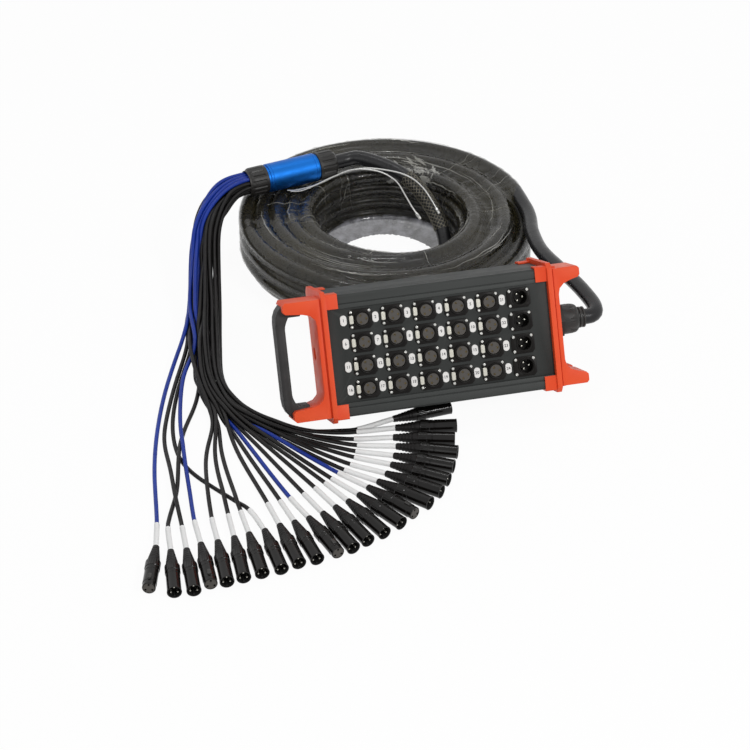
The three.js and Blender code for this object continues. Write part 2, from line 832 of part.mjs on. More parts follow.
// Pushes the tails apart, square to the way they travel, and keeps them above the floor
function settle(places, travels, floor) {
  const apart = new THREE.Vector3();
  const travel = new THREE.Vector3();
  for (let round = 0; round < settleRounds; round += 1) {
    for (let i = 0; i < places.length; i += 1) {
      for (let j = 0; j < i; j += 1) {
        travel.addVectors(travels[i], travels[j]).normalize();
        apart.subVectors(places[i], places[j]).projectOnPlane(travel);
        const push = (loosePitch / apart.length() - 1) / 2;
        if (push > 0) {
          places[i].addScaledVector(apart, push);
          places[j].addScaledVector(apart, -push);
        }
      }
      places[i].z = Math.max(places[i].z, floor);
    }
  }
}

// Moves the tails from one set of goals to another in small steps, and settles each step
function moveTails(places, from, to, travels, floors) {
  for (let step = 1; step <= settleSteps; step += 1) {
    places.forEach((place, i) => {
      place.addScaledVector(to[i], 1 / settleSteps).addScaledVector(from[i], -1 / settleSteps);
    });
    settle(places, travels, THREE.MathUtils.lerp(...floors, step / settleSteps));
  }
}

// Sections at the points of the bundle's path: the pack opens, sinks and flattens
function bundleSections() {
  const pack = tailPack();
  const travels = pack.map(() => new THREE.Vector3(0, 1, 0));
  const places = pack.map((place) => place.clone());
  const goals = [0, ...bundleShares].map((share) =>
    pack.map((place, i) => {
      const even = new THREE.Vector3((i - (pack.length - 1) / 2) * floorPitch, 0, 0);
      return place.clone().lerp(even, share);
    }),
  );
  const floors = bundlePoints.map((point) => tailDiameter / 2 - point[2]);
  return bundlePoints.map((point, i) => {
    const before = floors[Math.max(i - 1, 0)];
    moveTails(places, goals[i], goals[i + 1], travels, [before, floors[i]]);
    return places.map((place) => place.clone());
  });
}

const headingVector = (degrees) =>
  new THREE.Vector3(
    Math.cos(THREE.MathUtils.degToRad(degrees)),
    Math.sin(THREE.MathUtils.degToRad(degrees)),
    0,
  );

// Turns a section of the bundle into points at one place of its path
function placeSection(section, point, along) {
  const right = new THREE.Vector3().crossVectors(along, new THREE.Vector3(0, 0, 1)).normalize();
  const rise = new THREE.Vector3().crossVectors(right, along);
  return section.map((place) => {
    const knot = point.clone().addScaledVector(right, -place.x).addScaledVector(rise, place.z);
    knot.z = Math.max(knot.z, tailDiameter / 2);
    return knot;
  });
}

// Tails from the pack at the nut, down the bundle and over the floor to their connectors
function tailPaths() {
  const ahead = splitterAxis.clone().negate();
  const pack = tailPack();
  const exit = onSplitter(-nutFar - 2 * tailDiameter);
  const path = [exit, ...bundlePoints.map(vector)];
  const rows = [
    placeSection(pack, onSplitter(-nutFar + sealSink + weld), ahead),
    placeSection(pack, exit, ahead),
  ];
  bundleSections().forEach((section, i) => {
    const after = path[Math.min(i + 2, path.length - 1)];
    const along = new THREE.Vector3().subVectors(after, path[i]).normalize();
    rows.push(placeSection(section, path[i + 1], along));
  });
  const ends = plugPlaces.map(([x, y, heading]) =>
    new THREE.Vector3(x, y, plugDiameter / 2).addScaledVector(headingVector(heading), -seatGap),
  );
  const runIns = ends.map((end, i) => {
    const point = end.clone().addScaledVector(headingVector(plugPlaces[i][2]), -plugRun);
    point.z = tailDiameter;
    return point;
  });
  const left = rows[rows.length - 1];
  const travels = runIns.map((point, i) => point.clone().sub(left[i]).setZ(0).normalize());
  const last = new THREE.Vector3().subVectors(path.at(-1), path.at(-2)).normalize();
  settle(left, travels.map((travel) => travel.clone().add(last)), tailDiameter / 2);
  const places = left.map((place) => place.clone());
  const goals = [0, ...fanShares].map((share) =>
    left.map((place, i) => place.clone().lerp(runIns[i], share)),
  );
  const floor = tailDiameter / 2 + seatGap;
  fanShares.forEach((share, i) => {
    const landed = Math.min(share / fanLanding, 1);
    goals[i + 1].forEach((goal, k) => goal.setZ(THREE.MathUtils.lerp(left[k].z, floor, landed)));
    moveTails(places, goals[i], goals[i + 1], travels, [floor, floor]);
    rows.push(places.map((place) => place.clone()));
  });
  rows.push(runIns, ends);
  return plugPlaces.map((unused, i) => rows.map((row) => row[i]));
}

function makeTails() {
  const seal = placeOnSplitter(
    rod(sleeveBore - 2 * seatGap, 0, sealLength, 20), -nutFar + sealSink,
  );
  const tails = tailPaths().map((path) => tube(path, tailDiameter / 2, tubeSides));
  return union([seal, ...tails]);
}

// Cable connectors, along +Z from the boot before they are placed
const collarStart = bootLength;
const barrelStart = collarStart + collarLength;

function plugProfile(end) {
  return [
    [0, 0], [bootStartDiameter / 2, 0], [bootEndDiameter / 2, collarStart],
    [plugDiameter / 2, collarStart], [plugDiameter / 2, barrelStart],
    [barrelDiameter / 2, barrelStart], [barrelDiameter / 2, end],
  ];
}

function malePlug() {
  const floor = plugLength - plugBoreDepth;
  const shell = turned(
    [...plugProfile(plugLength), [plugBore / 2, plugLength], [plugBore / 2, floor], [0, floor]],
    plugSides,
  );
  return shell.add(pins(floor - weld, floor + plugPinLength).rotate([0, 0, 90]));
}

function femalePlug() {
  const body = turned([...plugProfile(plugLength), [0, plugLength]], plugSides);
  const holes = pins(plugLength - plugHoleDepth, plugLength + overrun).rotate([0, 0, 90]);
  const seat = buttonSeat(buttonLength + 2 * seatGap, buttonWidth + 2 * seatGap, 0);
  return body.subtract(holes).subtract(seat);
}

// The space of a latch button in the top of the barrel
function buttonSeat(length, width, proud) {
  const middle = plugLength - buttonSetback - buttonLength / 2;
  const depth = buttonTravel + buttonProud;
  const floor = barrelDiameter / 2 - depth;
  const rise = proud > 0 ? barrelDiameter / 2 + proud : barrelDiameter / 2 + overrun;
  const start = proud > 0 ? floor + buttonTravel + seatGap : floor;
  return prism(bevelledRectangle(length, width, buttonWidth / 5), 'z', start, rise)
    .rotate([0, -90, 0])
    .rotate([0, 0, 90])
    .translate([0, 0, middle]);
}

function placePlug(body, [x, y, heading]) {
  return body
    .rotate([0, 0, -90])
    .rotate([0, 90, 0])
    .rotate([0, 0, heading])
    .translate([x, y, plugDiameter / 2]);
}

// Assembly
const box = new THREE.Group();
box.rotation.x = -THREE.MathUtils.degToRad(boxLean);
const gland = makeGland();
box.add(
  node('case_extrusion', makeCase(), anodised),
  node('front_panel', makePanel(), socketBlack),
  node('left_end_cap', makeLeftCap(), bumper),
  node('right_end_cap', makeRightCap(), bumper),
  node('carry_handle', makeHandle(), handlePlastic),
  node('cable_gland', gland.body, blackPlastic),
);

const tab = makeTab();
for (let column = 0; column < socketColumns - 1; column += 1) {
  for (let row = 0; row < socketRows; row += 1) {
    const [x, z] = socketCentre(column, row);
    const number = column * socketRows + row + 1;
    const mesh = node(`latch_tab_${String(number).padStart(2, '0')}`, tab, nickel);
    mesh.position.set(x - tabShift, panelFace, z);
    box.add(mesh);
  }
}

// The box stands on the floor with its bounding box centred on the origin
box.updateMatrixWorld(true);
const bounds = new THREE.Box3().setFromObject(box, true);
const centre = bounds.getCenter(new THREE.Vector3());
box.position.set(-centre.x, -centre.y, -bounds.min.z);
box.updateMatrixWorld(true);

const trunk = trunkPoints();
const glandEnd = box.localToWorld(new THREE.Vector3(gland.end, 0, glandRise));
const leadIn = makeLeadIn(glandEnd, trunk.all[trunk.all.length - 1]);
console.log(`least gap between turns of the coil: ${leastCoilGap(trunk.turns).toFixed(2)} mm`);

const part = new THREE.Group();
part.add(
  box,
  node('trunk_lead_in', tube(leadIn, trunkDiameter / 2, tubeSides), trunkRubber),
  node('trunk_coil', tube(trunk.all, trunkDiameter / 2, coilSides), trunkRubber),
  node('splitter_sleeve', makeSleeve(), blueMetal),
  node('splitter_trunk_nut', makeTrunkNut(), blackPlastic),
  node('splitter_tail_nut', makeTailNut(), blackPlastic),
  node('tail_bundle', makeTails(), tailRubber),
);

const male = malePlug();
const female = femalePlug();
const button = buttonSeat(buttonLength, buttonWidth, buttonProud);
plugPlaces.forEach((place, i) => {
  const number = String(i + 1).padStart(2, '0');
  const isFemale = femalePlugs.includes(i + 1);
  part.add(node(`connector_${number}`, placePlug(isFemale ? female : male, place), plugMetal));
  if (isFemale) {
    part.add(node(`latch_button_${number}`, placePlug(button, place), blackPlastic));
  }
});

export default part;
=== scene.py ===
"""Looks of the stage box snake: the box, its coiled trunk cable, the splitter and the fan of tails."""
import math
import random

import bmesh
import bpy
from mathutils import Euler, Matrix, Vector, kdtree, noise


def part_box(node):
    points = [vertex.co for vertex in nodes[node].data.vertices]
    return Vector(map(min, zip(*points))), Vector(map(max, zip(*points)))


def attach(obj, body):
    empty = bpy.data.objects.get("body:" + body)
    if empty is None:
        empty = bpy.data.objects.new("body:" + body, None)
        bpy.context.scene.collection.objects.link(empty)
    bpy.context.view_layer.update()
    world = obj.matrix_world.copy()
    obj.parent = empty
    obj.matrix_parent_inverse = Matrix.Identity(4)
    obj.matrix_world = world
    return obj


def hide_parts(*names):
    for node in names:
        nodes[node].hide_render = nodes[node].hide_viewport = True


MM = 0.001
BODY = "snake"

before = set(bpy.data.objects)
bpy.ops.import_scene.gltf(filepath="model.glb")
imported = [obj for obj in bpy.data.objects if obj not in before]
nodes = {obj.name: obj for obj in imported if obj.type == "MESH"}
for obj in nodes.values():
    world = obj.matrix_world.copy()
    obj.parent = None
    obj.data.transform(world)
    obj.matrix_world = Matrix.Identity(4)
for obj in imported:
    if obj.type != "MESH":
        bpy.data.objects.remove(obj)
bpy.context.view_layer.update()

# Sizes repeated from the part's source, in millimetres
SEAT_GAP = 0.3
BOX_LEAN = 26
CASE_LENGTH = 293
CAP_FLANGE = 6.5
CAP_WEB = 7.5
PANEL_FACE = -42.7
COLUMN_PITCH = 42
ROW_PITCH = 30
SOCKET_COLUMNS = 6
SOCKET_ROWS = 4
SOCKET_SHIFT = 2
FACE_SHIFT = 2
FLANGE_THICKNESS = 1.6
CUP_BORE = 18.5
CUP_DEPTH = 13.5
PIN_CIRCLE = 9.8
TAB_SHIFT = 12.3
TAB_WIDTH = 5.6
TAB_HEIGHT = 11
TAB_PROUD = 3.4
TAB_SEAT = 0.3
TRUNK_DIAMETER = 20.5
COIL_COLUMNS = 5
COIL_LEVELS = 4
COIL_PITCH = 21.3
COIL_OUTER_RADIUS = 198
COIL_CENTRE = (30, 364)
COIL_START = -7 / 18
SLEEVE_LENGTH = 80
NUT_LENGTH = 29
SEAL_SINK = 3
SPLITTER_DIAMETER = 41
SPLITTER_CENTRE = (-87, 457.5)
SPLITTER_HEADING = 12
TAIL_DIAMETER = 5.6
TAIL_PITCH = 5.95
LOOSE_PITCH = 7
FLOOR_PITCH = 4.4
SETTLE_ROUNDS = 40
SETTLE_STEPS = 6
PLUG_DIAMETER = 19
PLUG_LENGTH = 80
PLUG_RUN = 62
BOOT_LENGTH = 32
BARREL_DIAMETER = 17.6
PLUG_BORE = 15.6
PLUG_BORE_DEPTH = 14
LEAD_IN_POINTS = [
    (226, 7, 99), (230, 24, 99), (229, 50, 98), (225, 90, 95), (217, 140, 90),
    (211, 200, 83), (216, 260, 78), (225, 300, 75),
]
LEAD_OUT_POINTS = [
    (14, 475, 107), (46, 453, 104), (76, 424, 94), (97, 392, 74), (110, 362, 48), (112, 336, 24),
]
BUNDLE_POINTS = [
    (-194, 434, 104), (-232, 393, 81), (-250, 334, 48), (-263, 262, 25), (-275, 178, 15),
    (-284, 98, 11),
]
BUNDLE_SHARES = [0.05, 0.15, 0.3, 0.45, 0.6, 0.7]
FAN_SHARES = [0.25, 0.6]
FAN_LANDING = 0.5
PLUG_PLACES = [
    (-408, -238, -106), (-392, -250, -97), (-373, -252, -94), (-354, -245, -92),
    (-333, -245, -93), (-312, -242, -93), (-293, -239, -90), (-273, -237, -87),
    (-253, -231, -85), (-234, -229, -82), (-215, -225, -76), (-196, -220, -75),
    (-178, -211, -73), (-160, -203, -69), (-144, -193, -62), (-129, -181, -57),
    (-114, -172, -49), (-100, -158, -43), (-89, -141, -38), (-81, -123, -31),
    (-73, -104, -23), (-72, -84, -16), (-64, -64, -10), (-62, -44, 6),
]
FEMALE_PLUGS = (1, 4, 11, 16)
GLAND_END = 204.0
GLAND_RISE = 3

# The frame of the leaning box, in the row frame
case_low, case_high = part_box("case_extrusion")
lean = Euler((-math.radians(BOX_LEAN), 0, 0)).to_matrix().to_4x4()
BOX = Matrix.Translation((case_low + case_high) / 2) @ lean
TOWARDS_FRONT = Matrix.Rotation(math.pi / 2, 4, "X")


def mm(*values):
    return Vector(values) * MM


def shifted(x, y, z):
    """The frame at a spot in millimetres."""
    return Matrix.Translation(mm(x, y, z))


def vectors(points):
    return [Vector(point) for point in points]


# Colours and materials
WORN_POINTINESS = (0.52, 0.6)
DULL_METAL = 0.82


def srgb(*levels):
    """A colour in linear light from its levels in a picture, 0 to 255."""
    shares = [level / 255 for level in levels]
    linear = [share / 12.92 if share <= 0.04045 else ((share + 0.055) / 1.055) ** 2.4 for share in shares]
    return (*linear, 1)


class Look:
    """A Principled material with helpers for its noise, bump and colour variation."""

    def __init__(self, name, colour, roughness, metallic=0.0, specular=0.5):
        self.material = bpy.data.materials.new(name)
        self.material.use_nodes = True
        self.tree = self.material.node_tree
        self.shader = self.tree.nodes["Principled BSDF"]
        self.roughness = roughness
        self.set("Base Color", srgb(*colour))
        self.set("Roughness", roughness)
        self.set("Metallic", metallic)
        self.set("Specular IOR Level", specular)

    def set(self, socket, value):
        self.shader.inputs[socket].default_value = value

    def node(self, kind, **sockets):
        node = self.tree.nodes.new(kind)
        for name, value in sockets.items():
            node.inputs[name.replace("_", " ")].default_value = value
        return node

    def link(self, source, target):
        self.tree.links.new(source, target)

    def noise(self, scale, detail=4.0, roughness=0.55, stretch=None):
        node = self.node("ShaderNodeTexNoise", Scale=scale, Detail=detail, Roughness=roughness)
        vector = self.node("ShaderNodeTexCoord").outputs["Object"]
        if stretch:
            mapping = self.node("ShaderNodeMapping", Scale=stretch)
            self.link(vector, mapping.inputs["Vector"])
            vector = mapping.outputs["Vector"]
        self.link(vector, node.inputs["Vector"])
        return node.outputs["Fac"]

    def ramp(self, source, low, high, start=0.3, end=0.7):
        node = self.node("ShaderNodeMapRange", From_Min=start, From_Max=end, To_Min=low, To_Max=high)
        self.link(source, node.inputs["Value"])
        return node.outputs["Result"]

    def mix_colour(self, other, factor):
        """Mixes another colour into the base colour."""
        base = self.shader.inputs["Base Color"]
        mix = self.tree.nodes.new("ShaderNodeMix")
        mix.data_type = "RGBA"
        mix.inputs["A"].default_value = base.default_value
        mix.inputs["B"].default_value = other
        if base.is_linked:
            self.link(base.links[0].from_socket, mix.inputs["A"])
        self.link(factor, mix.inputs["Factor"])
        self.link(mix.outputs["Result"], base)

    def patches(self, source, levels, amount=1.0):
        self.mix_colour(srgb(*levels), self.ramp(source, 0, amount))

    def vary_roughness(self, source, spread):
        factor = self.ramp(source, self.roughness - spread, self.roughness + spread)
        self.link(factor, self.shader.inputs["Roughness"])

    def bump(self, source, depth):
        node = self.node("ShaderNodeBump", Strength=1.0, Distance=depth)
        self.link(source, node.inputs["Height"])
        normal = self.shader.inputs["Normal"]
        if normal.is_linked:
            self.link(normal.links[0].from_socket, node.inputs["Normal"])
        self.link(node.outputs["Normal"], normal)

    def worn_edges(self, levels, amount):
        """Pointiness lights up the edges, where paint rubs thin."""
        pointiness = self.node("ShaderNodeNewGeometry").outputs["Pointiness"]
        self.mix_colour(srgb(*levels), self.ramp(pointiness, 0, amount, *WORN_POINTINESS))
        return self.material


def make_case_look():
    look = Look("anodised_case", (50, 52, 51), 0.5, 0, 0.14)
    look.patches(look.noise(9, 5), (46, 48, 47))
    look.vary_roughness(look.noise(40, 3), 0.06)
    look.bump(look.noise(2600, 2), 0.00003)
    look.bump(look.noise(300, 2, stretch=(0.02, 1, 1)), 0.00002)
    return look.worn_edges((84, 86, 85), 0.6)


def make_orange_look():
    look = Look("orange_bumper", (232, 82, 38), 0.46, 0, 0.22)
    look.patches(look.noise(14, 5), (222, 70, 34))
    look.vary_roughness(look.noise(60, 3), 0.07)
    look.bump(look.noise(900, 3), 0.00005)
    return look.worn_edges((240, 110, 72), 0.5)


def make_plastic_look(name, colour, light, roughness=0.5):
    look = Look(name, colour, roughness, 0, 0.4)
    look.patches(look.noise(18, 4), light, 0.5)
    look.vary_roughness(look.noise(80, 3), 0.08)
    look.bump(look.noise(1100, 3), 0.00005)
    return look.worn_edges(light, 0.7)


def make_rubber_look(name, colour, light, roughness, specular):
    look = Look(name, colour, roughness, 0, specular)
    look.patches(look.noise(25, 5), light, 0.6)
    look.vary_roughness(look.noise(120, 4), 0.1)
    look.bump(look.noise(1800, 3), 0.00003)
    look.bump(look.noise(60, 3), 0.0002)
    return look.material


def make_metal_look(name, colour, roughness, grain=700, stretch=None):
    look = Look(name, colour, roughness, 0.95)
    red, green, blue, _ = [DULL_METAL * share for share in srgb(*colour)]
    look.mix_colour((red, green, blue, 1), look.ramp(look.noise(30, 3), 0, 0.6))
    look.vary_roughness(look.noise(90, 3), 0.06)
    look.bump(look.noise(grain, 2, stretch=stretch), 0.00001)
    return look.material


def make_paint_look(name, colour, light, roughness, specular):
    look = Look(name, colour, roughness, 0, specular)
    look.patches(look.noise(40, 3), light, 0.5)
    look.vary_roughness(look.noise(140, 3), 0.05)
    look.bump(look.noise(1500, 2), 0.00001)
    return look.worn_edges(light, 0.6)


def make_film_look(name, colour, light, alpha, streaks=(1, 1, 0.5)):
    """Clear stretch film: a thin see-through layer with folds that catch the light."""
    look = Look(name, colour, 0.08, 0, 0.3)
    look.patches(look.noise(9, 3, stretch=streaks), light)
    look.bump(look.noise(14, 2, 0.5, streaks), 0.003)
    look.bump(look.noise(90, 2, 0.5, streaks), 0.00012)
    look.set("Alpha", alpha)
    look.set("Coat Weight", 1.0)
    look.set("Coat Roughness", 0.04)
    return look.material


LOOKS = {
    "case": make_case_look(),
    "orange": make_orange_look(),
    "handle": make_plastic_look("handle_plastic", (34, 32, 32), (46, 44, 44), 0.6),
    "black": make_plastic_look("black_plastic", (28, 27, 26), (48, 46, 44), 0.42),
    "trunk": make_rubber_look("trunk_rubber", (26, 26, 28), (38, 38, 40), 0.3, 0.3),
    "tail": make_rubber_look("tail_rubber", (20, 19, 19), (34, 32, 32), 0.42, 0.22),
    "blue_tail": make_rubber_look("blue_tail_rubber", (14, 46, 140), (22, 60, 166), 0.42, 0.3),
    "blue_metal": make_metal_look("blue_metal", (28, 106, 192), 0.44, 500, (1, 0.05, 0.05)),
    "nickel": make_metal_look("satin_nickel", (186, 184, 174), 0.36),
    "steel": make_metal_look("bright_steel", (190, 190, 186), 0.3),
    "wire": make_metal_look("lanyard_wire", (196, 196, 194), 0.3, 2500),
    "grip": make_metal_look("grip_wire", (120, 116, 104), 0.4, 2500),
    "gold": make_metal_look("gold_contact", (120, 104, 70), 0.4),
    "socket": make_paint_look("socket_black", (15, 13, 12), (26, 24, 22), 0.4, 0.12),
    "socket_face": make_plastic_look("socket_face", (58, 54, 50), (70, 66, 61), 0.45),
    "connector": make_paint_look("connector_black", (13, 11, 10), (22, 19, 18), 0.17, 0.27),
    "boot": make_rubber_look("boot_rubber", (18, 16, 16), (28, 26, 26), 0.45, 0.2),
    "white_sleeve": make_plastic_look("white_sleeve", (238, 239, 238), (246, 246, 246)),
    "plate": make_plastic_look("number_plate", (224, 222, 218), (236, 234, 232), 0.4),
    "ink": make_plastic_look("ink", (44, 44, 48), (56, 56, 60)),
    # Near-black for contact holes and plug bores: painted shade of deep recesses, over inserts that are
    # dark themselves
    "hole_shade": make_plastic_look("hole_painted_shade", (8, 8, 8), (14, 14, 14), 0.7),
    "film": make_film_look("stretch_film", (14, 13, 12), (80, 74, 48), 0.3),
    # White film creases: painted highlights along and across the turns, partly doubled film that is whiter
    # itself
    "fold": make_film_look("film_fold_painted_highlight", (214, 214, 208), (150, 148, 138), 0.55),
    # Film skirt: a dark sheet that paints the shade in the coil's hole, with painted glint streaks
    "skirt_shade": make_film_look("film_skirt_painted_shade", (46, 46, 52), (156, 156, 164), 0.84, (7, 7, 0.3)),
}


# Making pieces
DOUBLE_DISTANCE = 1e-6
FLAT_ANGLE = 1.5
BEVEL_ANGLE = 35
SMOOTH_ANGLE = 38
TURNED_SMOOTH_ANGLE = 30
RIB_STEPS = 6
GROOVE_STEPS = 2


def linked(name, data):
    """A new object in the scene."""
    thing = bpy.data.objects.new(name, data)
    bpy.context.scene.collection.objects.link(thing)
    return thing


def with_looks(data, *looks):
    for key in looks:
        data.materials.append(LOOKS[key])
    return data


def place(name, data, matrix=Matrix(), slot=None, body=BODY):
    """An object at a place in the row frame, which goes with a body."""
    thing = linked(name, data)
    thing.matrix_world = matrix
    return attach(thing, body)


def stand_in(node, data, matrix, slot, body=BODY):
    """A new piece that stands for a CAD node."""
    thing = place(node + "_look", data, matrix, slot, body)
    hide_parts(node)
    return thing


def mesh_from(name, bm, angle=SMOOTH_ANGLE):
    """The mesh of a finished bmesh, smooth where faces meet at less than an angle, flat without one."""
    bmesh.ops.recalc_face_normals(bm, faces=bm.faces)
    mesh = bpy.data.meshes.new(name)
    bm.to_mesh(mesh)
    bm.free()
    if angle:
        mesh.shade_smooth()
        mesh.set_sharp_from_angle(angle=math.radians(angle))
    return mesh


def new_tube(name, diameter, ring):
    """An empty curve that is as thick as a cord."""
    data = bpy.data.curves.new(name, "CURVE")
    data.dimensions = "3D"
    data.bevel_depth = diameter / 2
    data.bevel_resolution = ring
    data.use_fill_caps = True
    return data


def add_line(tube, points):
    spline = tube.splines.new("POLY")
    spline.points.add(len(points) - 1)
    for target, point in zip(spline.points, points):
        target.co = (*point, 1)
    spline.use_smooth = True


def tube_object(name, points, diameter, look, slot, ring=4):
    """A round cord along fine points, as one open spline."""
    data = new_tube(name, diameter, ring)
    add_line(data, points)
    return place(name, with_looks(data, look), slot=slot)


def evaluated_mesh(thing):
    depsgraph = bpy.context.evaluated_depsgraph_get()
    return bpy.data.meshes.new_from_object(thing.evaluated_get(depsgraph))


def bake_modifiers(thing):
    mesh = evaluated_mesh(thing)
    thing.modifiers.clear()
    thing.data = mesh


def soften(node, look, width, segments=2, body=BODY):
    """A copy of a CAD node with rounded edges, which stands for it."""
    bm = bmesh.new()
    bm.from_mesh(nodes[node].data)
    bmesh.ops.remove_doubles(bm, verts=bm.verts, dist=DOUBLE_DISTANCE)
    bmesh.ops.dissolve_limit(
        bm, angle_limit=math.radians(FLAT_ANGLE), verts=bm.verts, edges=bm.edges, delimit=set()
    )
    mesh = with_looks(mesh_from(node + "_soft", bm, None), look)
    mesh.shade_smooth()
    thing = linked(node + "_look", mesh)
    bevel = thing.modifiers.new("bevel", "BEVEL")
    bevel.width = width * MM
    bevel.segments = segments
    bevel.limit_method = "ANGLE"
    bevel.angle_limit = math.radians(BEVEL_ANGLE)
    bevel.use_clamp_overlap = True
    bevel.harden_normals = True
    bake_modifiers(thing)
    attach(thing, body)
    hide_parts(node)
    return thing


def lathe(bm, profile, sides, look=0, ribs=0, rib_depth=0, matrix=Matrix()):
    """Adds a shell turned about +Z from (radius, height) pairs, ribbed where a third value is set."""
    rings = []
    for radius, height, *ribbed in profile:
        ring = []
        for k in range(sides if radius else 1):
            angle = 2 * math.pi * k / sides
            groove = ribs and ribbed and (k * ribs * RIB_STEPS // sides) % RIB_STEPS < GROOVE_STEPS
            reach = radius - rib_depth if groove else radius
            ring.append(bm.verts.new(matrix @ mm(reach * math.cos(angle), reach * math.sin(angle), height)))
        rings.append(ring)
    for a, b in zip(rings, rings[1:]):
        for k in range(sides):
            n = (k + 1) % sides
            corners = [a[k % len(a)], b[k % len(b)], b[n % len(b)], a[n % len(a)]]
            bm.faces.new(list(dict.fromkeys(corners))).material_index = look
    return bm


def skin(bm, rings, closed=True, look=0):
    """Adds the faces between neighbouring rings of vertices."""
    for a, b in zip(rings, rings[1:]):
        for k in range(len(a) if closed else len(a) - 1):
            n = (k + 1) % len(a)
            bm.faces.new((a[k], b[k], b[n], a[n])).material_index = look


def turned(name, profile, sides, look, angle=SMOOTH_ANGLE):
    """The mesh of a turned piece with one look."""
    return with_looks(mesh_from(name, lathe(bmesh.new(), profile, sides), angle), look)


def rounded_rectangle(width, height, radius, steps=5):
    points = []
    for quarter in range(4):
        sign_x = 1 if quarter in (0, 3) else -1
        sign_z = 1 if quarter in (0, 1) else -1
        for i in range(steps + 1):
            angle = math.pi / 2 * (quarter + i / steps)
            points.append((
                sign_x * (width / 2 - radius) + radius * math.cos(angle),
                sign_z * (height / 2 - radius) + radius * math.sin(angle),
            ))
    return points


def slab(bm, outline, start, end, edge=0.0, look=0, shift=(0, 0)):
    """Adds a plate with an outline in x and z, from y = start to the front at y = -end."""
    rows = [(start, 0), (-end + edge, 0), (-end, edge)] if edge else [(start, 0), (-end, 0)]
    reach = max(max(abs(a), abs(b)) for a, b in outline)
    rings = [
        [
            bm.verts.new(mm(shift[0] + a * (1 - inset / reach), y, shift[1] + b * (1 - inset / reach)))
            for a, b in outline
        ]
        for y, inset in rows
    ]
    skin(bm, rings, True, look)
    for ring in (rings[0], rings[-1]):
        bm.faces.new(ring).material_index = look
    return bm


def carve(mesh, cutter):
    """Cuts one mesh out of another."""
    base = linked("carve_base", mesh)
    tool = linked("carve_tool", cutter)
    modifier = base.modifiers.new("cut", "BOOLEAN")
    modifier.object = tool
    modifier.operation = "DIFFERENCE"
    modifier.solver = "EXACT"
    bake_modifiers(base)
    result = base.data
    bpy.data.objects.remove(base)
    bpy.data.objects.remove(tool)
    return result


# Routes of the cords, as in the part's source
LEAST_LENGTH = 1e-9


def lerp(a, b, share):
    return a + (b - a) * share


def blend(a, b, start, end, at):
    return a * ((end - at) / (end - start)) + b * ((at - start) / (end - start))


def catmull_rom(points, step):
    """Centripetal Catmull-Rom curve through the points, sampled about every step."""
    knots = [points[0] * 2 - points[1], *points, points[-1] * 2 - points[-2]]
    result = []
    for i in range(1, len(knots) - 2):
        p0, p1, p2, p3 = knots[i - 1 : i + 3]
        t0 = 0.0
        t1 = t0 + max((p1 - p0).length, LEAST_LENGTH) ** 0.5
        t2 = t1 + max((p2 - p1).length, LEAST_LENGTH) ** 0.5
        t3 = t2 + max((p3 - p2).length, LEAST_LENGTH) ** 0.5
        count = max(1, round((p2 - p1).length / step))
        for k in range(count):
            t = t1 + (t2 - t1) * k / count
            middle = blend(p1, p2, t1, t2, t)
            before = blend(blend(p0, p1, t0, t1, t), middle, t0, t2, t)
            after = blend(middle, blend(p2, p3, t2, t3, t), t1, t3, t)
            result.append(blend(before, after, t1, t2, t))
    result.append(points[-1].copy())
    return result


def smoothstep(value, start, width):
    share = min(max((value - start) / width, 0), 1)
    return share * share * (3 - 2 * share)


MOVE_TURNS = 0.5
COLUMN_TURNS = COIL_LEVELS - MOVE_TURNS
COLUMN_LEAD = MOVE_TURNS / 2
COIL_END = COLUMN_TURNS * COIL_COLUMNS
COIL_INNER_RADIUS = COIL_OUTER_RADIUS - (COIL_COLUMNS - 1) * COIL_PITCH
TURN_STEPS = 72
TRUNK_STEP = 6


def coil_level(turn):
    level = 0
    for column in range(COIL_COLUMNS):
        direction = 1 if column % 2 == 0 else -1
        for i in range(COIL_LEVELS - 1):
            level += direction * smoothstep(turn, column * COLUMN_TURNS + MOVE_TURNS + i, MOVE_TURNS)
    return level


def coil_column(turn):
    return -1 + sum(
        smoothstep(turn, i * COLUMN_TURNS - COLUMN_LEAD, MOVE_TURNS) for i in range(COIL_COLUMNS)
    )


def coil_point(turn):
    radius = COIL_INNER_RADIUS + COIL_PITCH * coil_column(turn)
    angle = math.pi - 2 * math.pi * turn
    return Vector((
        COIL_CENTRE[0] + radius * math.cos(angle),
        COIL_CENTRE[1] + radius * math.sin(angle),
        TRUNK_DIAMETER / 2 + COIL_PITCH * coil_level(turn),
    ))


def heading_vector(degrees):
    return Vector((math.cos(math.radians(degrees)), math.sin(math.radians(degrees)), 0))


splitter_axis = heading_vector(SPLITTER_HEADING)
splitter_middle = Vector((
    *SPLITTER_CENTRE,
    TRUNK_DIAMETER + (COIL_LEVELS - 1) * COIL_PITCH + SEAT_GAP + SPLITTER_DIAMETER / 2,
))
NUT_FAR = SLEEVE_LENGTH / 2 + SEAT_GAP + NUT_LENGTH


def on_splitter(along):
    return splitter_middle + splitter_axis * along


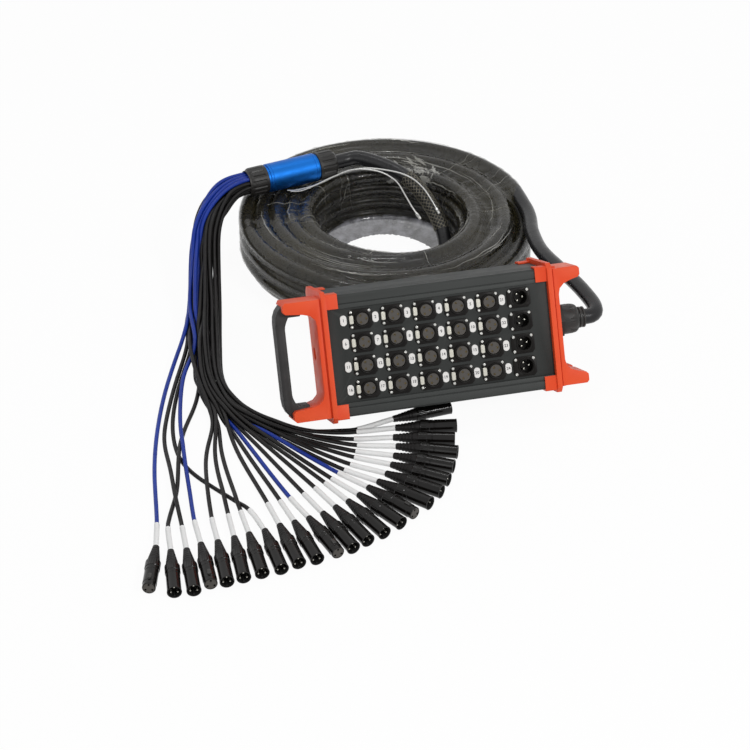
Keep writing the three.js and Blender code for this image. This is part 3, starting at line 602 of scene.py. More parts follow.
def trunk_route():
    """The whole trunk: from the gland, round the coil and up to the splitter."""
    count = round((COIL_END - COIL_START) * TURN_STEPS)
    turns = [coil_point(lerp(COIL_START, COIL_END, i / count)) for i in range(count + 1)]
    straight = turns[-1] - Vector((0, TRUNK_DIAMETER, 0))
    gland = BOX @ mm(GLAND_END, 0, GLAND_RISE) / MM
    start = gland + Vector((SEAT_GAP, 0, 0))
    path_in = [
        start,
        start + Vector((TRUNK_DIAMETER / 2, 0, 0)),
        *vectors(LEAD_IN_POINTS),
        straight - Vector((0, TRUNK_DIAMETER, 0)),
        straight,
        turns[-1],
    ]
    nut_end = NUT_FAR + SEAT_GAP
    path_out = [
        turns[0],
        *vectors(reversed(LEAD_OUT_POINTS)),
        on_splitter(nut_end + TRUNK_DIAMETER),
        on_splitter(nut_end),
    ]
    lead_in = catmull_rom(path_in, TRUNK_STEP)
    lead_out = catmull_rom([turns[1], *path_out], TRUNK_STEP)[1:]
    skip = next(i for i, point in enumerate(lead_out) if (point - turns[0]).length < 1e-6)
    return [*lead_in[:-1], *reversed(turns), *lead_out[skip + 1 :]]


def bundle_path():
    """Where the bundle leaves the nut, and its points."""
    return [on_splitter(-NUT_FAR - 2 * TAIL_DIAMETER), *vectors(BUNDLE_POINTS)]


def tail_pack():
    """Places of the tails in the nut, in five rows, sorted from left to right."""
    rows = [4, 5, 6, 5, 4]
    places = [
        Vector((
            (i - (count - 1) / 2) * TAIL_PITCH,
            0,
            (row - (len(rows) - 1) / 2) * TAIL_PITCH * math.cos(math.pi / 6),
        ))
        for row, count in enumerate(rows)
        for i in range(count)
    ]
    return sorted(places, key=lambda place: (round(place.x, 6), place.z))


def settle(places, travels, floor):
    """Pushes the tails of a section apart until none overlap."""
    for _ in range(SETTLE_ROUNDS):
        for i, place in enumerate(places):
            for j in range(i):
                travel = (travels[i] + travels[j]).normalized()
                apart = place - places[j]
                apart -= travel * apart.dot(travel)
                push = (LOOSE_PITCH / apart.length - 1) / 2
                if push > 0:
                    place += apart * push
                    places[j] -= apart * push
            place.z = max(place.z, floor)


def move_tails(places, start, goal, travels, floors):
    for step in range(1, SETTLE_STEPS + 1):
        for i, place in enumerate(places):
            place += (goal[i] - start[i]) / SETTLE_STEPS
        settle(places, travels, lerp(*floors, step / SETTLE_STEPS))


def bundle_sections():
    """Places of the tails at each point of the bundle, which flattens on its way down."""
    pack = tail_pack()
    travels = [Vector((0, 1, 0))] * len(pack)
    places = [place.copy() for place in pack]
    middle = (len(pack) - 1) / 2
    goals = [
        [place.lerp(Vector(((i - middle) * FLOOR_PITCH, 0, 0)), share) for i, place in enumerate(pack)]
        for share in [0, *BUNDLE_SHARES]
    ]
    floors = [TAIL_DIAMETER / 2 - point[2] for point in BUNDLE_POINTS]
    sections = []
    for i in range(len(BUNDLE_POINTS)):
        move_tails(places, goals[i], goals[i + 1], travels, (floors[max(i - 1, 0)], floors[i]))
        sections.append([place.copy() for place in places])
    return sections


def place_section(section, point, along):
    """Turns the places of a section square to the bundle's way at a point."""
    right = along.cross(Vector((0, 0, 1))).normalized()
    rise = right.cross(along)
    knots = []
    for place in section:
        knot = point - right * place.x + rise * place.z
        knot.z = max(knot.z, TAIL_DIAMETER / 2)
        knots.append(knot)
    return knots


def bundle_rows(path):
    """Knots of the tails in the nut and at each point of the bundle."""
    ahead = -splitter_axis
    pack = tail_pack()
    rows = [place_section(pack, on_splitter(-NUT_FAR + SEAL_SINK), ahead)]
    rows.append(place_section(pack, path[0], ahead))
    for i, section in enumerate(bundle_sections()):
        after = path[min(i + 2, len(path) - 1)]
        rows.append(place_section(section, path[i + 1], (after - path[i]).normalized()))
    return rows


def plug_knots():
    """For each tail, the knot where its straight run to the connector starts, and its end."""
    knots = []
    for x, y, heading in PLUG_PLACES:
        away = heading_vector(heading)
        end = Vector((x, y, PLUG_DIAMETER / 2)) - away * SEAT_GAP
        run_in = end - away * PLUG_RUN
        run_in.z = TAIL_DIAMETER
        knots.append((run_in, end))
    return knots


def tail_routes():
    """The knots of each tail: nut, bundle, fan, run-in and connector."""
    path = bundle_path()
    rows = bundle_rows(path)
    run_ins, ends = zip(*plug_knots())
    left = rows[-1]
    travels = [((run_in - place) * Vector((1, 1, 0))).normalized() for run_in, place in zip(run_ins, left)]
    last = (path[-1] - path[-2]).normalized()
    settle(left, [travel + last for travel in travels], TAIL_DIAMETER / 2)
    places = [place.copy() for place in left]
    goals = [
        [place.lerp(run_in, share) for place, run_in in zip(left, run_ins)] for share in [0, *FAN_SHARES]
    ]
    floor = TAIL_DIAMETER / 2 + SEAT_GAP
    for i, share in enumerate(FAN_SHARES):
        landed = min(share / FAN_LANDING, 1)
        for goal, place in zip(goals[i + 1], left):
            goal.z = lerp(place.z, floor, landed)
        move_tails(places, goals[i], goals[i + 1], travels, (floor, floor))
        rows.append([place.copy() for place in places])
    rows += [run_ins, ends]
    return [[row[i] for row in rows] for i in range(len(places))]


def route_length(points):
    return sum((b - a).length for a, b in zip(points, points[1:]))


# Camera, light and floor
CAMERA_SPOT = (-741.1, -2695.4, 1924.8)
CAMERA_AIM = (-65.0, 41.1, 23.5)
CAMERA_LENS = 123.06
FLOOR_REACH = 6.0
FLOOR_SHARE = 0.95
FLOOR_COLOUR = (0.92, 0.92, 0.92, 1)
SKY_STRENGTH = 0.5
LIGHTS = (
    ("key", (1.0, -2.4, 2.2), (0, 0.1, 0), (0.7, 0.35), 38),
    ("fill", (-1.8, -2.0, 1.4), (0, 0.1, 0), (1.4, 1.4), 8),
    ("top", (0.05, 0.9, 2.9), (0, 0.1, 0), (0.9, 0.3), 9),
)


def aim(thing, spot, target):
    thing.location = spot
    thing.rotation_euler = (Vector(target) - Vector(spot)).to_track_quat("-Z", "Y").to_euler()


def make_camera():
    data = bpy.data.cameras.new("camera")
    data.sensor_width = 36
    data.lens = CAMERA_LENS
    data.clip_end = 20
    camera = linked("camera", data)
    aim(camera, mm(*CAMERA_SPOT), mm(*CAMERA_AIM))
    bpy.context.scene.camera = camera


def make_light(name, spot, target, size, power):
    data = bpy.data.lights.new(name, "AREA")
    data.shape = "RECTANGLE"
    data.size, data.size_y = size
    data.energy = power
    aim(linked(name, data), spot, target)


def background_mix(tree, surface, share, output):
    """Shows white to the camera and in reflections, by share, over the lit surface."""
    path = tree.nodes.new("ShaderNodeLightPath")
    white = tree.nodes.new("ShaderNodeEmission")
    seen = path.outputs["Is Camera Ray"]
    for ray in ("Is Glossy Ray", "Is Transmission Ray"):
        either = tree.nodes.new("ShaderNodeMath")
        either.operation = "ADD"
        either.use_clamp = True
        tree.links.new(seen, either.inputs[0])
        tree.links.new(path.outputs[ray], either.inputs[1])
        seen = either.outputs[0]
    amount = tree.nodes.new("ShaderNodeMath")
    amount.operation = "MULTIPLY"
    amount.inputs[1].default_value = share
    tree.links.new(seen, amount.inputs[0])
    mix = tree.nodes.new("ShaderNodeMixShader")
    tree.links.new(amount.outputs[0], mix.inputs["Fac"])
    tree.links.new(surface, mix.inputs[1])
    tree.links.new(white.outputs[0], mix.inputs[2])
    tree.links.new(mix.outputs[0], tree.nodes[output].inputs["Surface"])


def make_floor():
    mesh = bpy.data.meshes.new("floor")
    corners = [(-1, -1), (1, -1), (1, 1), (-1, 1)]
    mesh.from_pydata([(x * FLOOR_REACH, y * FLOOR_REACH, 0) for x, y in corners], [], [(0, 1, 2, 3)])
    look = Look("floor_white", (255, 255, 255), 0.8, 0, 0.1)
    look.set("Base Color", FLOOR_COLOUR)
    background_mix(look.tree, look.shader.outputs[0], FLOOR_SHARE, "Material Output")
    mesh.materials.append(look.material)
    linked("floor", mesh)


def make_world():
    world = bpy.data.worlds.new("studio")
    bpy.context.scene.world = world
    world.use_nodes = True
    sky = world.node_tree.nodes["Background"]
    sky.inputs["Color"].default_value = (1, 1, 1, 1)
    sky.inputs["Strength"].default_value = SKY_STRENGTH
    background_mix(world.node_tree, sky.outputs[0], 1.0, "World Output")


make_camera()
make_floor()
make_world()
for light in LIGHTS:
    make_light(*light)
bpy.context.scene.view_settings.view_transform = "Standard"


# Tangle of the tails: they change places inside the bundle that the source describes
BLUE_TAILS = (1, 4, 11, 16)
LANES_AT_NUT = {1: 6, 4: 11, 11: 16, 16: 21}
LANES_TURNING = {1: 3, 4: 6, 11: 8, 16: 11}
LANES_AT_EDGE = {1: 1, 4: 3, 11: 6, 16: 8, 3: 2, 8: 4, 2: 5}
LANES_LOW = {1: 1, 3: 2, 8: 3, 4: 4, 2: 5, 5: 6, 6: 7, 7: 8, 11: 9, 16: 14}
SUNK_TAILS = (11, 16)
SUNK_ROWS = (7, 8)
SUNK_DEPTH = 6
LANE_STAGES = (
    LANES_AT_NUT, LANES_AT_NUT, LANES_AT_NUT, LANES_TURNING,
    LANES_AT_EDGE, LANES_AT_EDGE, LANES_LOW, LANES_LOW,
)
LOOSE_ROW = 6
SLACK_SHIFTS = (0, 0, 0, 1, 5, 9, 8, 3)
SLACK_LANE = 15
TIGHT_SHARES = (0, 0, 1, 1, 1, 0.85, 0.5, 0.2)
ROW_SHIFTS = (0, 0, 7, 10, 10, 6, 2, 0)
LOOSE_POINTS = {
    1: [(-284, 221, 20), (-312, 162, 10), (-342, 84, 5), (-366, 1, 4), (-382, -74, 4)],
    3: [(-288, 190, 16), (-309, 140, 8), (-338, 63, 5), (-359, -12, 4), (-362, -77, 6), (-367, -140, 9)],
    8: [(-286, 178, 12), (-313, 120, 5), (-344, 9, 3), (-345, -64, 3), (-330, -103, 3), (-308, -139, 4)],
    4: [(-283, 170, 22), (-308, 119, 16), (-333, 13, 10), (-341, -58, 9), (-347, -133, 4)],
    2: [(-281, 140, 8), (-303, 61, 4), (-329, 6, 3), (-347, -56, 9), (-362, -125, 3)],
}
WANDER = 3
DRIFT_SHARE = 0.4
TAIL_STEP = 5
TAIL_CLEARANCE = 6
RELAX_ROUNDS = 80
PUSH_SHARE = 0.4
EVEN_SHARE = 0.3
NUT_HOLD = 4
PLUG_HOLD = 3
FREE_SHARE = 0.6
GATHER_SHARES = (1, 1, 1, 1, 1, 0.9, 0.7, 0.56, 0.6, 0.92, 1, 1)
LATE_FAN = (-273, 28, 5.6)
LATE_FAN_SHARES = (0, 0, 0, 0, 0, 0, 0, 0.18, 0.5, 0.08, 0, 0)
LOW_FAN = (-236, -60, 5.6)
LOW_FAN_LANE = 10
LOW_FAN_SHARES = (0, 0, 0, 0, 0, 0, 0, 0, 0.12, 0.45, 0, 0)
OWN_RUN_INS = {1: (-397, -179, 5.6), 8: (-283, -184, 5.6)}
ROUNDING = 24


def lane_order(fixed):
    """The lane of each tail, where some tails have a lane of their own and the others keep their order."""
    numbers = range(1, len(PLUG_PLACES) + 1)
    others = [i for i in numbers if i not in fixed]
    free = [i for i in numbers if i not in fixed.values()]
    return fixed | dict(zip(others, free))


def tight_rows():
    """Where the lanes would be if the bundle stayed as tight as in the nut."""
    path = bundle_path()
    pack = tail_pack()
    rows = [None, None]
    for i in range(1, len(path)):
        along = (path[min(i + 1, len(path) - 1)] - path[i - 1]).normalized()
        rows.append(place_section(pack, path[i], along))
    return rows


def lane_spot(knots, tight, lane, row):
    """Where a lane runs at a row of the bundle."""
    spot = knots[lane][row]
    if TIGHT_SHARES[row]:
        spot = spot.lerp(tight[row][lane], TIGHT_SHARES[row])
    slack = max(lane - SLACK_LANE, 0) / (len(knots) - SLACK_LANE) * SLACK_SHIFTS[row]
    return spot + Vector((ROW_SHIFTS[row] + slack, 0, 0))


def gathered(spot, centre, row, number, count):
    """Draws a spot to the middle of its row and to where the fan opens."""
    away = (spot - centre) * Vector((1, 1, 0))
    spot = spot - away * (1 - GATHER_SHARES[row])
    spot = spot.lerp(Vector(LATE_FAN), LATE_FAN_SHARES[row])
    low = max(number - LOW_FAN_LANE, 0) / (count - LOW_FAN_LANE)
    return spot.lerp(Vector(LOW_FAN), low * LOW_FAN_SHARES[row])


def tangled_routes():
    """Tail routes with lanes changed, then pushed apart where they would run through each other."""
    knots = tail_routes()
    tight = tight_rows()
    stages = [lane_order(fixed) for fixed in LANE_STAGES]
    chance = random.Random(11)
    routes = []
    count = len(knots)
    row_count = len(knots[0])
    centres = [sum((own[row] for own in knots), Vector()) / count for row in range(row_count)]
    for number in range(1, count + 1):
        drift = Vector()
        moved = []
        for row, spot in enumerate(knots[number - 1]):
            if row < len(stages):
                spot = lane_spot(knots, tight, stages[row][number] - 1, row)
            spot = gathered(spot, centres[row], row, number, count)
            if 1 < row < row_count - 3:
                push = Vector([chance.uniform(-WANDER, WANDER) for _ in range(3)])
                drift = drift * DRIFT_SHARE + push
                spot += drift
            if number in SUNK_TAILS and row in SUNK_ROWS:
                spot.z -= SUNK_DEPTH
            spot.z = max(spot.z, TAIL_DIAMETER / 2 + SEAT_GAP)
            moved.append(spot)
        if number in LOOSE_POINTS:
            moved[LOOSE_ROW : row_count - 2] = vectors(LOOSE_POINTS[number])
        if number in OWN_RUN_INS:
            moved[-2] = Vector(OWN_RUN_INS[number])
        routes.append(rounded(even_steps(catmull_rom(moved, TAIL_STEP), TAIL_STEP)))
    return relaxed(routes)


def rounded(points):
    """Eases the bends of a line, apart from its straight ends."""
    held = round(PLUG_RUN / TAIL_STEP)
    for _ in range(ROUNDING):
        eased = [b * 0.5 + (a + c) * 0.25 for a, b, c in zip(points, points[1:], points[2:])]
        points = [points[0], points[1], *eased[1 : len(eased) - held], *points[-held - 1 :]]
    return points


def even_steps(points, step):
    """The same line with points an even step apart."""
    total = route_length(points)
    count = max(2, round(total / step))
    result = [points[0].copy()]
    walked = 0.0
    for a, b in zip(points, points[1:]):
        span = (b - a).length
        while len(result) < count and walked + span >= total * len(result) / count:
            share = (total * len(result) / count - walked) / span
            result.append(a.lerp(b, share))
        walked += span
    result.append(points[-1].copy())
    return result


def relaxed(routes):
    """The same lines, pushed apart where two come closer than the clearance."""
    base = [[point.copy() for point in route] for route in routes]
    owner = [(i, k) for i, route in enumerate(routes) for k in range(len(route))]
    for _ in range(RELAX_ROUNDS):
        tree = kdtree.KDTree(len(owner))
        for index, (i, k) in enumerate(owner):
            tree.insert(routes[i][k], index)
        tree.balance()
        pushes = [[Vector() for _ in route] for route in routes]
        for i, k in owner:
            here = routes[i][k]
            for there, index, distance in tree.find_range(here, TAIL_CLEARANCE):
                if owner[index][0] != i and distance > 0:
                    pushes[i][k] += (here - there) * ((TAIL_CLEARANCE / distance - 1) * PUSH_SHARE)
        for i, route in enumerate(routes):
            last = len(route) - 1
            shift = [route[k] + pushes[i][k] - base[i][k] for k in range(last + 1)]
            for k in range(1, last):
                free = min(k / NUT_HOLD, (last - k) / (PLUG_RUN / TAIL_STEP + PLUG_HOLD), 1)
                even = shift[k] * (1 - 2 * EVEN_SHARE) + (shift[k - 1] + shift[k + 1]) * EVEN_SHARE
                spot = base[i][k] + even * (0 if free < FREE_SHARE else free)
                spot.z = max(spot.z, min(TAIL_DIAMETER / 2, base[i][k].z))
                route[k] = spot
    return routes


# Cords
trunk_points = [point * MM for point in trunk_route()]
trunk = tube_object("trunk_cable", trunk_points, TRUNK_DIAMETER * MM, "trunk", "trunk_rubber", 7)
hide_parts("trunk_lead_in", "trunk_coil")

tails = []
for number, route in enumerate(tangled_routes(), 1):
    points = [point * MM for point in route]
    look = "blue_tail" if number in BLUE_TAILS else "tail"
    tail = tube_object(f"tail_{number:02d}", points, TAIL_DIAMETER * MM, look, "tail_rubber", 3)
    tails.append((tail, points))
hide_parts("tail_bundle")

WIRE_DIAMETER = 2.2
WIRE_STEP = 4
WIRE_ROUTES = [
    [
        (-96, 440, 87), (-86, 437, 87.5), (-71, 435, 90), (-50, 430, 98), (-28, 428, 108), (-6, 427, 115),
        (15, 421, 117), (37, 411, 114), (54, 394, 106), (62, 376, 93), (69, 362, 80), (78, 352, 66),
    ],
    [
        (-92, 436, 87), (-78, 432, 88), (-58, 429, 96), (-34, 428, 106), (-8, 429, 113), (18, 427, 115),
        (44, 421, 112), (65, 413, 108), (80, 402, 103), (92, 386, 94), (101, 372, 80), (108, 360, 66),
    ],
]
wires = []
for number, route in enumerate(WIRE_ROUTES, 1):
    points = [point * MM for point in catmull_rom(vectors(route), WIRE_STEP)]
    wire = tube_object(f"lanyard_wire_{number}", points, WIRE_DIAMETER * MM, "wire", "nickel", 3)
    wires.append((wire, points))


# Rigid pieces that keep the shape of their solids, with softened edges
soften("case_extrusion", "case", 0.5)
soften("left_end_cap", "orange", 0.7, 3)
soften("right_end_cap", "orange", 0.7, 3)
soften("carry_handle", "handle", 1.8, 3)
soften("cable_gland", "black", 0.6)


# Front panel
def socket_place(column, row):
    return (
        (column - (SOCKET_COLUMNS - 1) / 2) * COLUMN_PITCH + SOCKET_SHIFT,
        ((SOCKET_ROWS - 1) / 2 - row) * ROW_PITCH,
    )


def paint_panel():
    """The plate is grey like the case, and all that stands on it or is cut into it is black."""
    panel = soften("front_panel", "case", 0.25)
    panel.data.materials.append(LOOKS["socket"])
    to_box = BOX.inverted()
    for face in panel.data.polygons:
        centre = to_box @ face.center / MM
        inside = any(
            math.dist((centre.x, centre.z), (x + FACE_SHIFT, z)) < CUP_BORE / 2 + SEAT_GAP
            for x, z in [socket_place(SOCKET_COLUMNS - 1, row) for row in range(SOCKET_ROWS)]
        )
        if centre.y < PANEL_FACE - SEAT_GAP / 4 or inside:
            face.material_index = 1


def screw_mesh():
    """A pan head screw with a cross recess."""
    profile = [(0, -0.3), (2, -0.3), (2, 0.5), (1.6, 1.0), (0.8, 1.25), (0, 1.3)]
    head = mesh_from("screw_head", lathe(bmesh.new(), profile, 20))
    arm, thick = 1.15, 0.32
    quarter = [(arm, -thick), (arm, thick), (thick, thick)]
    outline = []
    for _ in range(4):
        outline += quarter
        quarter = [(-z, x) for x, z in quarter]
    cross = slab(bmesh.new(), outline, -0.75, 3)
    bmesh.ops.transform(cross, matrix=TOWARDS_FRONT.inverted(), verts=cross.verts)
    return with_looks(carve(head, mesh_from("cross", cross, None)), "steel")


def pin_spots(start=0):
    """Frames of three pins or contact holes, round +Z."""
    angles = [start + 2 * math.pi * i / 3 for i in range(3)]
    return [Matrix.Translation(mm(math.cos(a), math.sin(a), 0) * PIN_CIRCLE / 2) for a in angles]


def mark_contacts(faces, spot_of, depth, radius, inside, outside):
    """Gives the contact holes of a face one look, and the rest of it another."""
    for face in faces:
        spot = spot_of(face)
        deep = spot.z < depth * MM and spot.xy.length < radius * MM
        face.material_index = inside if deep else outside


def female_mesh():
    """Collar and contact face of a female socket, along +Z from the plate."""
    puck = lathe(bmesh.new(), [(0, 3), (7.9, 3), (7.9, 4.0), (7.6, 4.3), (0, 4.3)], 40)
    cutter = bmesh.new()
    for spot in pin_spots():
        lathe(cutter, [(0, 3.5), (1.5, 3.5), (1.5, 4.2), (1.9, 5), (0, 5)], 14, matrix=spot)
    lathe(cutter, [(0, 3.7), (1.2, 3.7), (1.2, 5), (0, 5)], 12, matrix=shifted(0, -7.9, 0))
    bm = bmesh.new()
    bm.from_mesh(carve(mesh_from("puck", puck), mesh_from("holes", cutter)))
    # The contact holes get the painted shade look, the rest of the face the grey insert
    mark_contacts(bm.faces, lambda face: face.calc_center_median(), 3.9, 7.4, 2, 1)
    lathe(bm, [(10.3, 1.4), (10.3, 3.9), (9.9, 4.4), (9.1, 4.4), (8.7, 4.1), (8.7, 2.8)], 40)
    for spot in pin_spots():
        lathe(bm, [(1.15, 3.5), (1.15, 3.9), (0.8, 3.9), (0.8, 3.5)], 12, 3, matrix=spot)
    return with_looks(mesh_from("female_socket", bm), "socket", "socket_face", "hole_shade", "gold")


def male_mesh():
    """Rim, cup and pins of a male socket, along +Z from the plate."""
    floor = 0.1 - CUP_DEPTH
    rim = [(11.3, 1.4), (11.3, 2.2), (10.9, 2.6), (9.5, 2.6), (8.8, 1.9), (8.8, floor), (0, floor)]
    bm = lathe(bmesh.new(), rim, 40)
    for spot in pin_spots():
        lathe(bm, [(1.35, floor), (1.35, -5.8), (1.0, -5.2), (0, -4.9)], 14, 1, matrix=spot)
        foot = [(2.3, floor), (2.3, floor + 0.8), (1.9, floor + 1.0), (1.3, floor + 1.0)]
        lathe(bm, foot, 14, matrix=spot)
    lathe(bm, [(1.4, floor), (1.4, 0.4), (0, 0.8)], 10, matrix=shifted(0, 8.2, 0))
    return with_looks(mesh_from("male_socket", bm), "socket", "nickel")


TAB_CORNER = 1.6
RIDGE_PROUD = 0.35
RIDGE_PITCH = 1.8


def tab_mesh():
    """A latch tab with grip ridges, its front along -Y."""
    outline = rounded_rectangle(TAB_WIDTH, TAB_HEIGHT, TAB_CORNER)
    bm = slab(bmesh.new(), outline, TAB_SEAT, TAB_PROUD, 0.6)
    ridge = rounded_rectangle(TAB_WIDTH - TAB_CORNER, 0.7, 0.3, 2)
    for i in (-1, 0, 1):
        slab(bm, ridge, 0.3 - TAB_PROUD, TAB_PROUD + RIDGE_PROUD, 0.2, 0, (0, i * RIDGE_PITCH))
    return with_looks(mesh_from("latch_tab_look", bm), "nickel")


PLATE_SIZE = (8.4, 13.6)
PLATE_CORNER = 3.9
PLATE_SHIFT = -22.3
PLATE_THICKNESS = 0.7
NUMBER_SIZE = 5.4
NUMBER_THICKNESS = 0.06
NUMBER_WEIGHT = 0.08
NUMBER_LIFT = 0.02
SCREW_SHIFTS = ((-12, 9.6), (-12, -9.6), (12, 9.6))


def plate_mesh():
    outline = rounded_rectangle(*PLATE_SIZE, PLATE_CORNER, 8)
    bm = slab(bmesh.new(), outline, 0, PLATE_THICKNESS, 0.25)
    return with_looks(mesh_from("number_plate", bm), "plate")


def number_mesh(number):
    data = bpy.data.curves.new(f"number_{number}", "FONT")
    data.body = str(number)
    data.size = NUMBER_SIZE * MM
    data.align_x = "CENTER"
    data.align_y = "CENTER"
    data.extrude = NUMBER_THICKNESS * MM
    data.offset = NUMBER_WEIGHT * MM
    data.resolution_u = 3
    thing = linked("number", data)
    mesh = evaluated_mesh(thing)
    bpy.data.objects.remove(thing)
    mesh.materials.clear()
    return with_looks(mesh, "ink")


def dress_panel():
    """Sockets, tabs, screws and numbered plates, column by column."""
    paint_panel()
    female = female_mesh()
    male = male_mesh()
    screw = screw_mesh()
    tab = tab_mesh()
    plate = plate_mesh()
    face = BOX @ shifted(0, PANEL_FACE, 0)
    for column in range(SOCKET_COLUMNS):
        for row in range(SOCKET_ROWS):
            x, z = socket_place(column, row)
            label = f"{column + 1}_{row + 1}"
            here = face @ shifted(x, 0, z)
            round_face = here @ shifted(FACE_SHIFT, 0, 0) @ TOWARDS_FRONT
            if column == SOCKET_COLUMNS - 1:
                number = SOCKET_ROWS * column + row + 1
                place(f"socket_{label}", male, round_face, "panel_black")
            else:
                number = row * (SOCKET_COLUMNS - 1) + column + 1
                place(f"socket_{label}", female, round_face, "panel_black")
                node = f"latch_tab_{column * SOCKET_ROWS + row + 1:02d}"
                stand_in(node, tab, here @ shifted(-TAB_SHIFT, 0, 0), "nickel", node)
            for i, (a, b) in enumerate(SCREW_SHIFTS, 1):
                spot = here @ shifted(a, -FLANGE_THICKNESS, b) @ TOWARDS_FRONT
                place(f"screw_{label}_{i}", screw, spot, "nickel")
            spot = here @ shifted(PLATE_SHIFT, 0, 0)
            place(f"plate_{label}", plate, spot)
            spot = spot @ shifted(0, -PLATE_THICKNESS - NUMBER_LIFT, 0) @ TOWARDS_FRONT
            place(f"number_{label}", number_mesh(number), spot)
    return screw


panel_screw = dress_panel()


# Screws that hold the end caps
CAP_SCREW_SCALE = 1.7
RIGHT_SCREWS = [(y, z) for y in (-30, 34) for z in (-37, 38)]
LEFT_SCREWS = [(30, z) for z in (-62, 0, 62)]


def cap_screws():
    plate = CASE_LENGTH / 2 + CAP_FLANGE
    places = [(1, plate + CAP_WEB, y, z) for y, z in RIGHT_SCREWS]
    places += [(-1, plate, y, z) for y, z in LEFT_SCREWS]
    for i, (side, x, y, z) in enumerate(places, 1):
        turn = Matrix.Rotation(side * math.pi / 2, 4, "Y")
        spot = BOX @ shifted(side * x, y, z) @ turn @ Matrix.Scale(CAP_SCREW_SCALE, 4)
        place(f"cap_screw_{i}", panel_screw, spot, "nickel")


cap_screws()


# Splitter
def lying(spot, heading):
    """The frame of a turned piece that lies with its axis along a heading."""
    turn = Matrix.Rotation(math.radians(heading), 4, "Z") @ Matrix.Rotation(math.pi / 2, 4, "Y")
    return Matrix.Translation(spot) @ turn


def splitter_frame(along):
    return lying(on_splitter(along) * MM, SPLITTER_HEADING)


NUT_RIBS = 16
NUT_RIB_DEPTH = 1.1


def nut_mesh(name, mouth, bore_depth):
    radius = SPLITTER_DIAMETER / 2
    profile = [
        (radius - 2, 0), (radius - 0.6, 0), (radius, 0.6), (radius, 4),
        (radius, 4.6, True), (radius, NUT_LENGTH - 7, True), (radius - 0.5, NUT_LENGTH - 5, True),
        (radius - 2, NUT_LENGTH - 3), (radius - 4, NUT_LENGTH - 1), (max(mouth, radius - 7), NUT_LENGTH),
        (mouth, NUT_LENGTH), (mouth, NUT_LENGTH - bore_depth),
    ]
    bm = lathe(bmesh.new(), profile, NUT_RIBS * RIB_STEPS, 0, NUT_RIBS, NUT_RIB_DEPTH)
    return with_looks(mesh_from(name, bm, TURNED_SMOOTH_ANGLE), "black")


def sleeve_mesh():
    half = SLEEVE_LENGTH / 2
    radius = SPLITTER_DIAMETER / 2
    ends = [
        (radius - 2.5, 0), (radius - 1.6, 0), (radius - 1.5, 0.3), (radius - 1.5, 3), (radius - 0.3, 3),
        (radius, 3.4), (radius, 6), (radius - 0.4, 6.3), (radius - 0.4, 7), (radius, 7.3),
    ]
    profile = [(r, h - half) for r, h in ends] + [(r, half - h) for r, h in reversed(ends)]
    return turned("sleeve_look", profile, 72, "blue_metal", TURNED_SMOOTH_ANGLE)


SEAL_PROFILE = [(0, -4), (17.9, -4), (17.9, 0), (17.4, 0.5), (0, 0.7)]
flip = Matrix.Rotation(math.pi, 4, "X")
nut_seat = SLEEVE_LENGTH / 2 + SEAT_GAP
sleeve = stand_in("splitter_sleeve", sleeve_mesh(), splitter_frame(0), "blue_metal")
trunk_nut = nut_mesh("trunk_nut_look", TRUNK_DIAMETER / 2 + 0.4, 2)
trunk_nut = stand_in("splitter_trunk_nut", trunk_nut, splitter_frame(nut_seat), "black_plastic")
tail_nut = nut_mesh("tail_nut_look", SPLITTER_DIAMETER / 2 - 2.6, SEAL_SINK - 0.4)
tail_nut = stand_in("splitter_tail_nut", tail_nut, splitter_frame(-nut_seat) @ flip, "black_plastic")
seal = turned("seal", SEAL_PROFILE, 48, "tail")
seal = place("tail_seal", seal, splitter_frame(-NUT_FAR + SEAL_SINK) @ flip, "tail_rubber")


# Braided grip on the trunk where it leaves the coil
GRIP_START = 112
GRIP_LENGTH = 106
GRIP_STRANDS = 10
GRIP_PITCH = 62
GRIP_WIRE = 0.9


def make_grip():
    """Two sets of strands wound opposite ways round the trunk."""
    line = [point / MM for point in reversed(trunk_points)]
    walked = 0.0
    frames = []
    for a, b in zip(line, line[1:]):
        if walked > GRIP_START + GRIP_LENGTH:
            break
        if walked >= GRIP_START:
            along = (b - a).normalized()
            side = along.cross(Vector((0, 0, 1))).normalized()
            frames.append((walked - GRIP_START, a, side, side.cross(along)))
        walked += (b - a).length
    fine = []
    for (s0, p0, a0, b0), (s1, p1, _, _) in zip(frames, frames[1:]):
        fine += [(s0, p0, a0, b0), ((s0 + s1) / 2, (p0 + p1) / 2, a0, b0)]
    tube = new_tube("trunk_grip", GRIP_WIRE * MM, 2)
    for direction, lift in ((1, 0.9), (-1, 0.4)):
        radius = TRUNK_DIAMETER / 2 + GRIP_WIRE * lift
        for strand in range(GRIP_STRANDS):
            points = []
            for along, centre, side, rise in fine:
                angle = 2 * math.pi * (direction * along / GRIP_PITCH + strand / GRIP_STRANDS)
                spot = centre + radius * (side * math.cos(angle) + rise * math.sin(angle))
                points.append(spot * MM)
            add_line(tube, points)
    return place("trunk_grip", with_looks(tube, "grip"), slot="nickel")


grip = make_grip()


FERRULE_PROFILE = [
    (0, -1), (1.6, -1), (2.1, -0.4), (2.1, 3), (1.8, 3.6), (2.1, 4.2), (2.1, 9), (1.4, 9.6), (0, 9.6),
]


def make_ferrules():
    """A crimped ferrule at the far end of each lanyard wire."""
    mesh = turned("ferrule", FERRULE_PROFILE, 20, "wire")
    made = []
    for number, (_, points) in enumerate(wires, 1):
        back = (points[-2] - points[-1]).normalized()
        turn = back.to_track_quat("Z", "Y").to_matrix().to_4x4()
        made.append(place(f"wire_ferrule_{number}", mesh, Matrix.Translation(points[-1]) @ turn, "nickel"))
    return made


ferrules = make_ferrules()


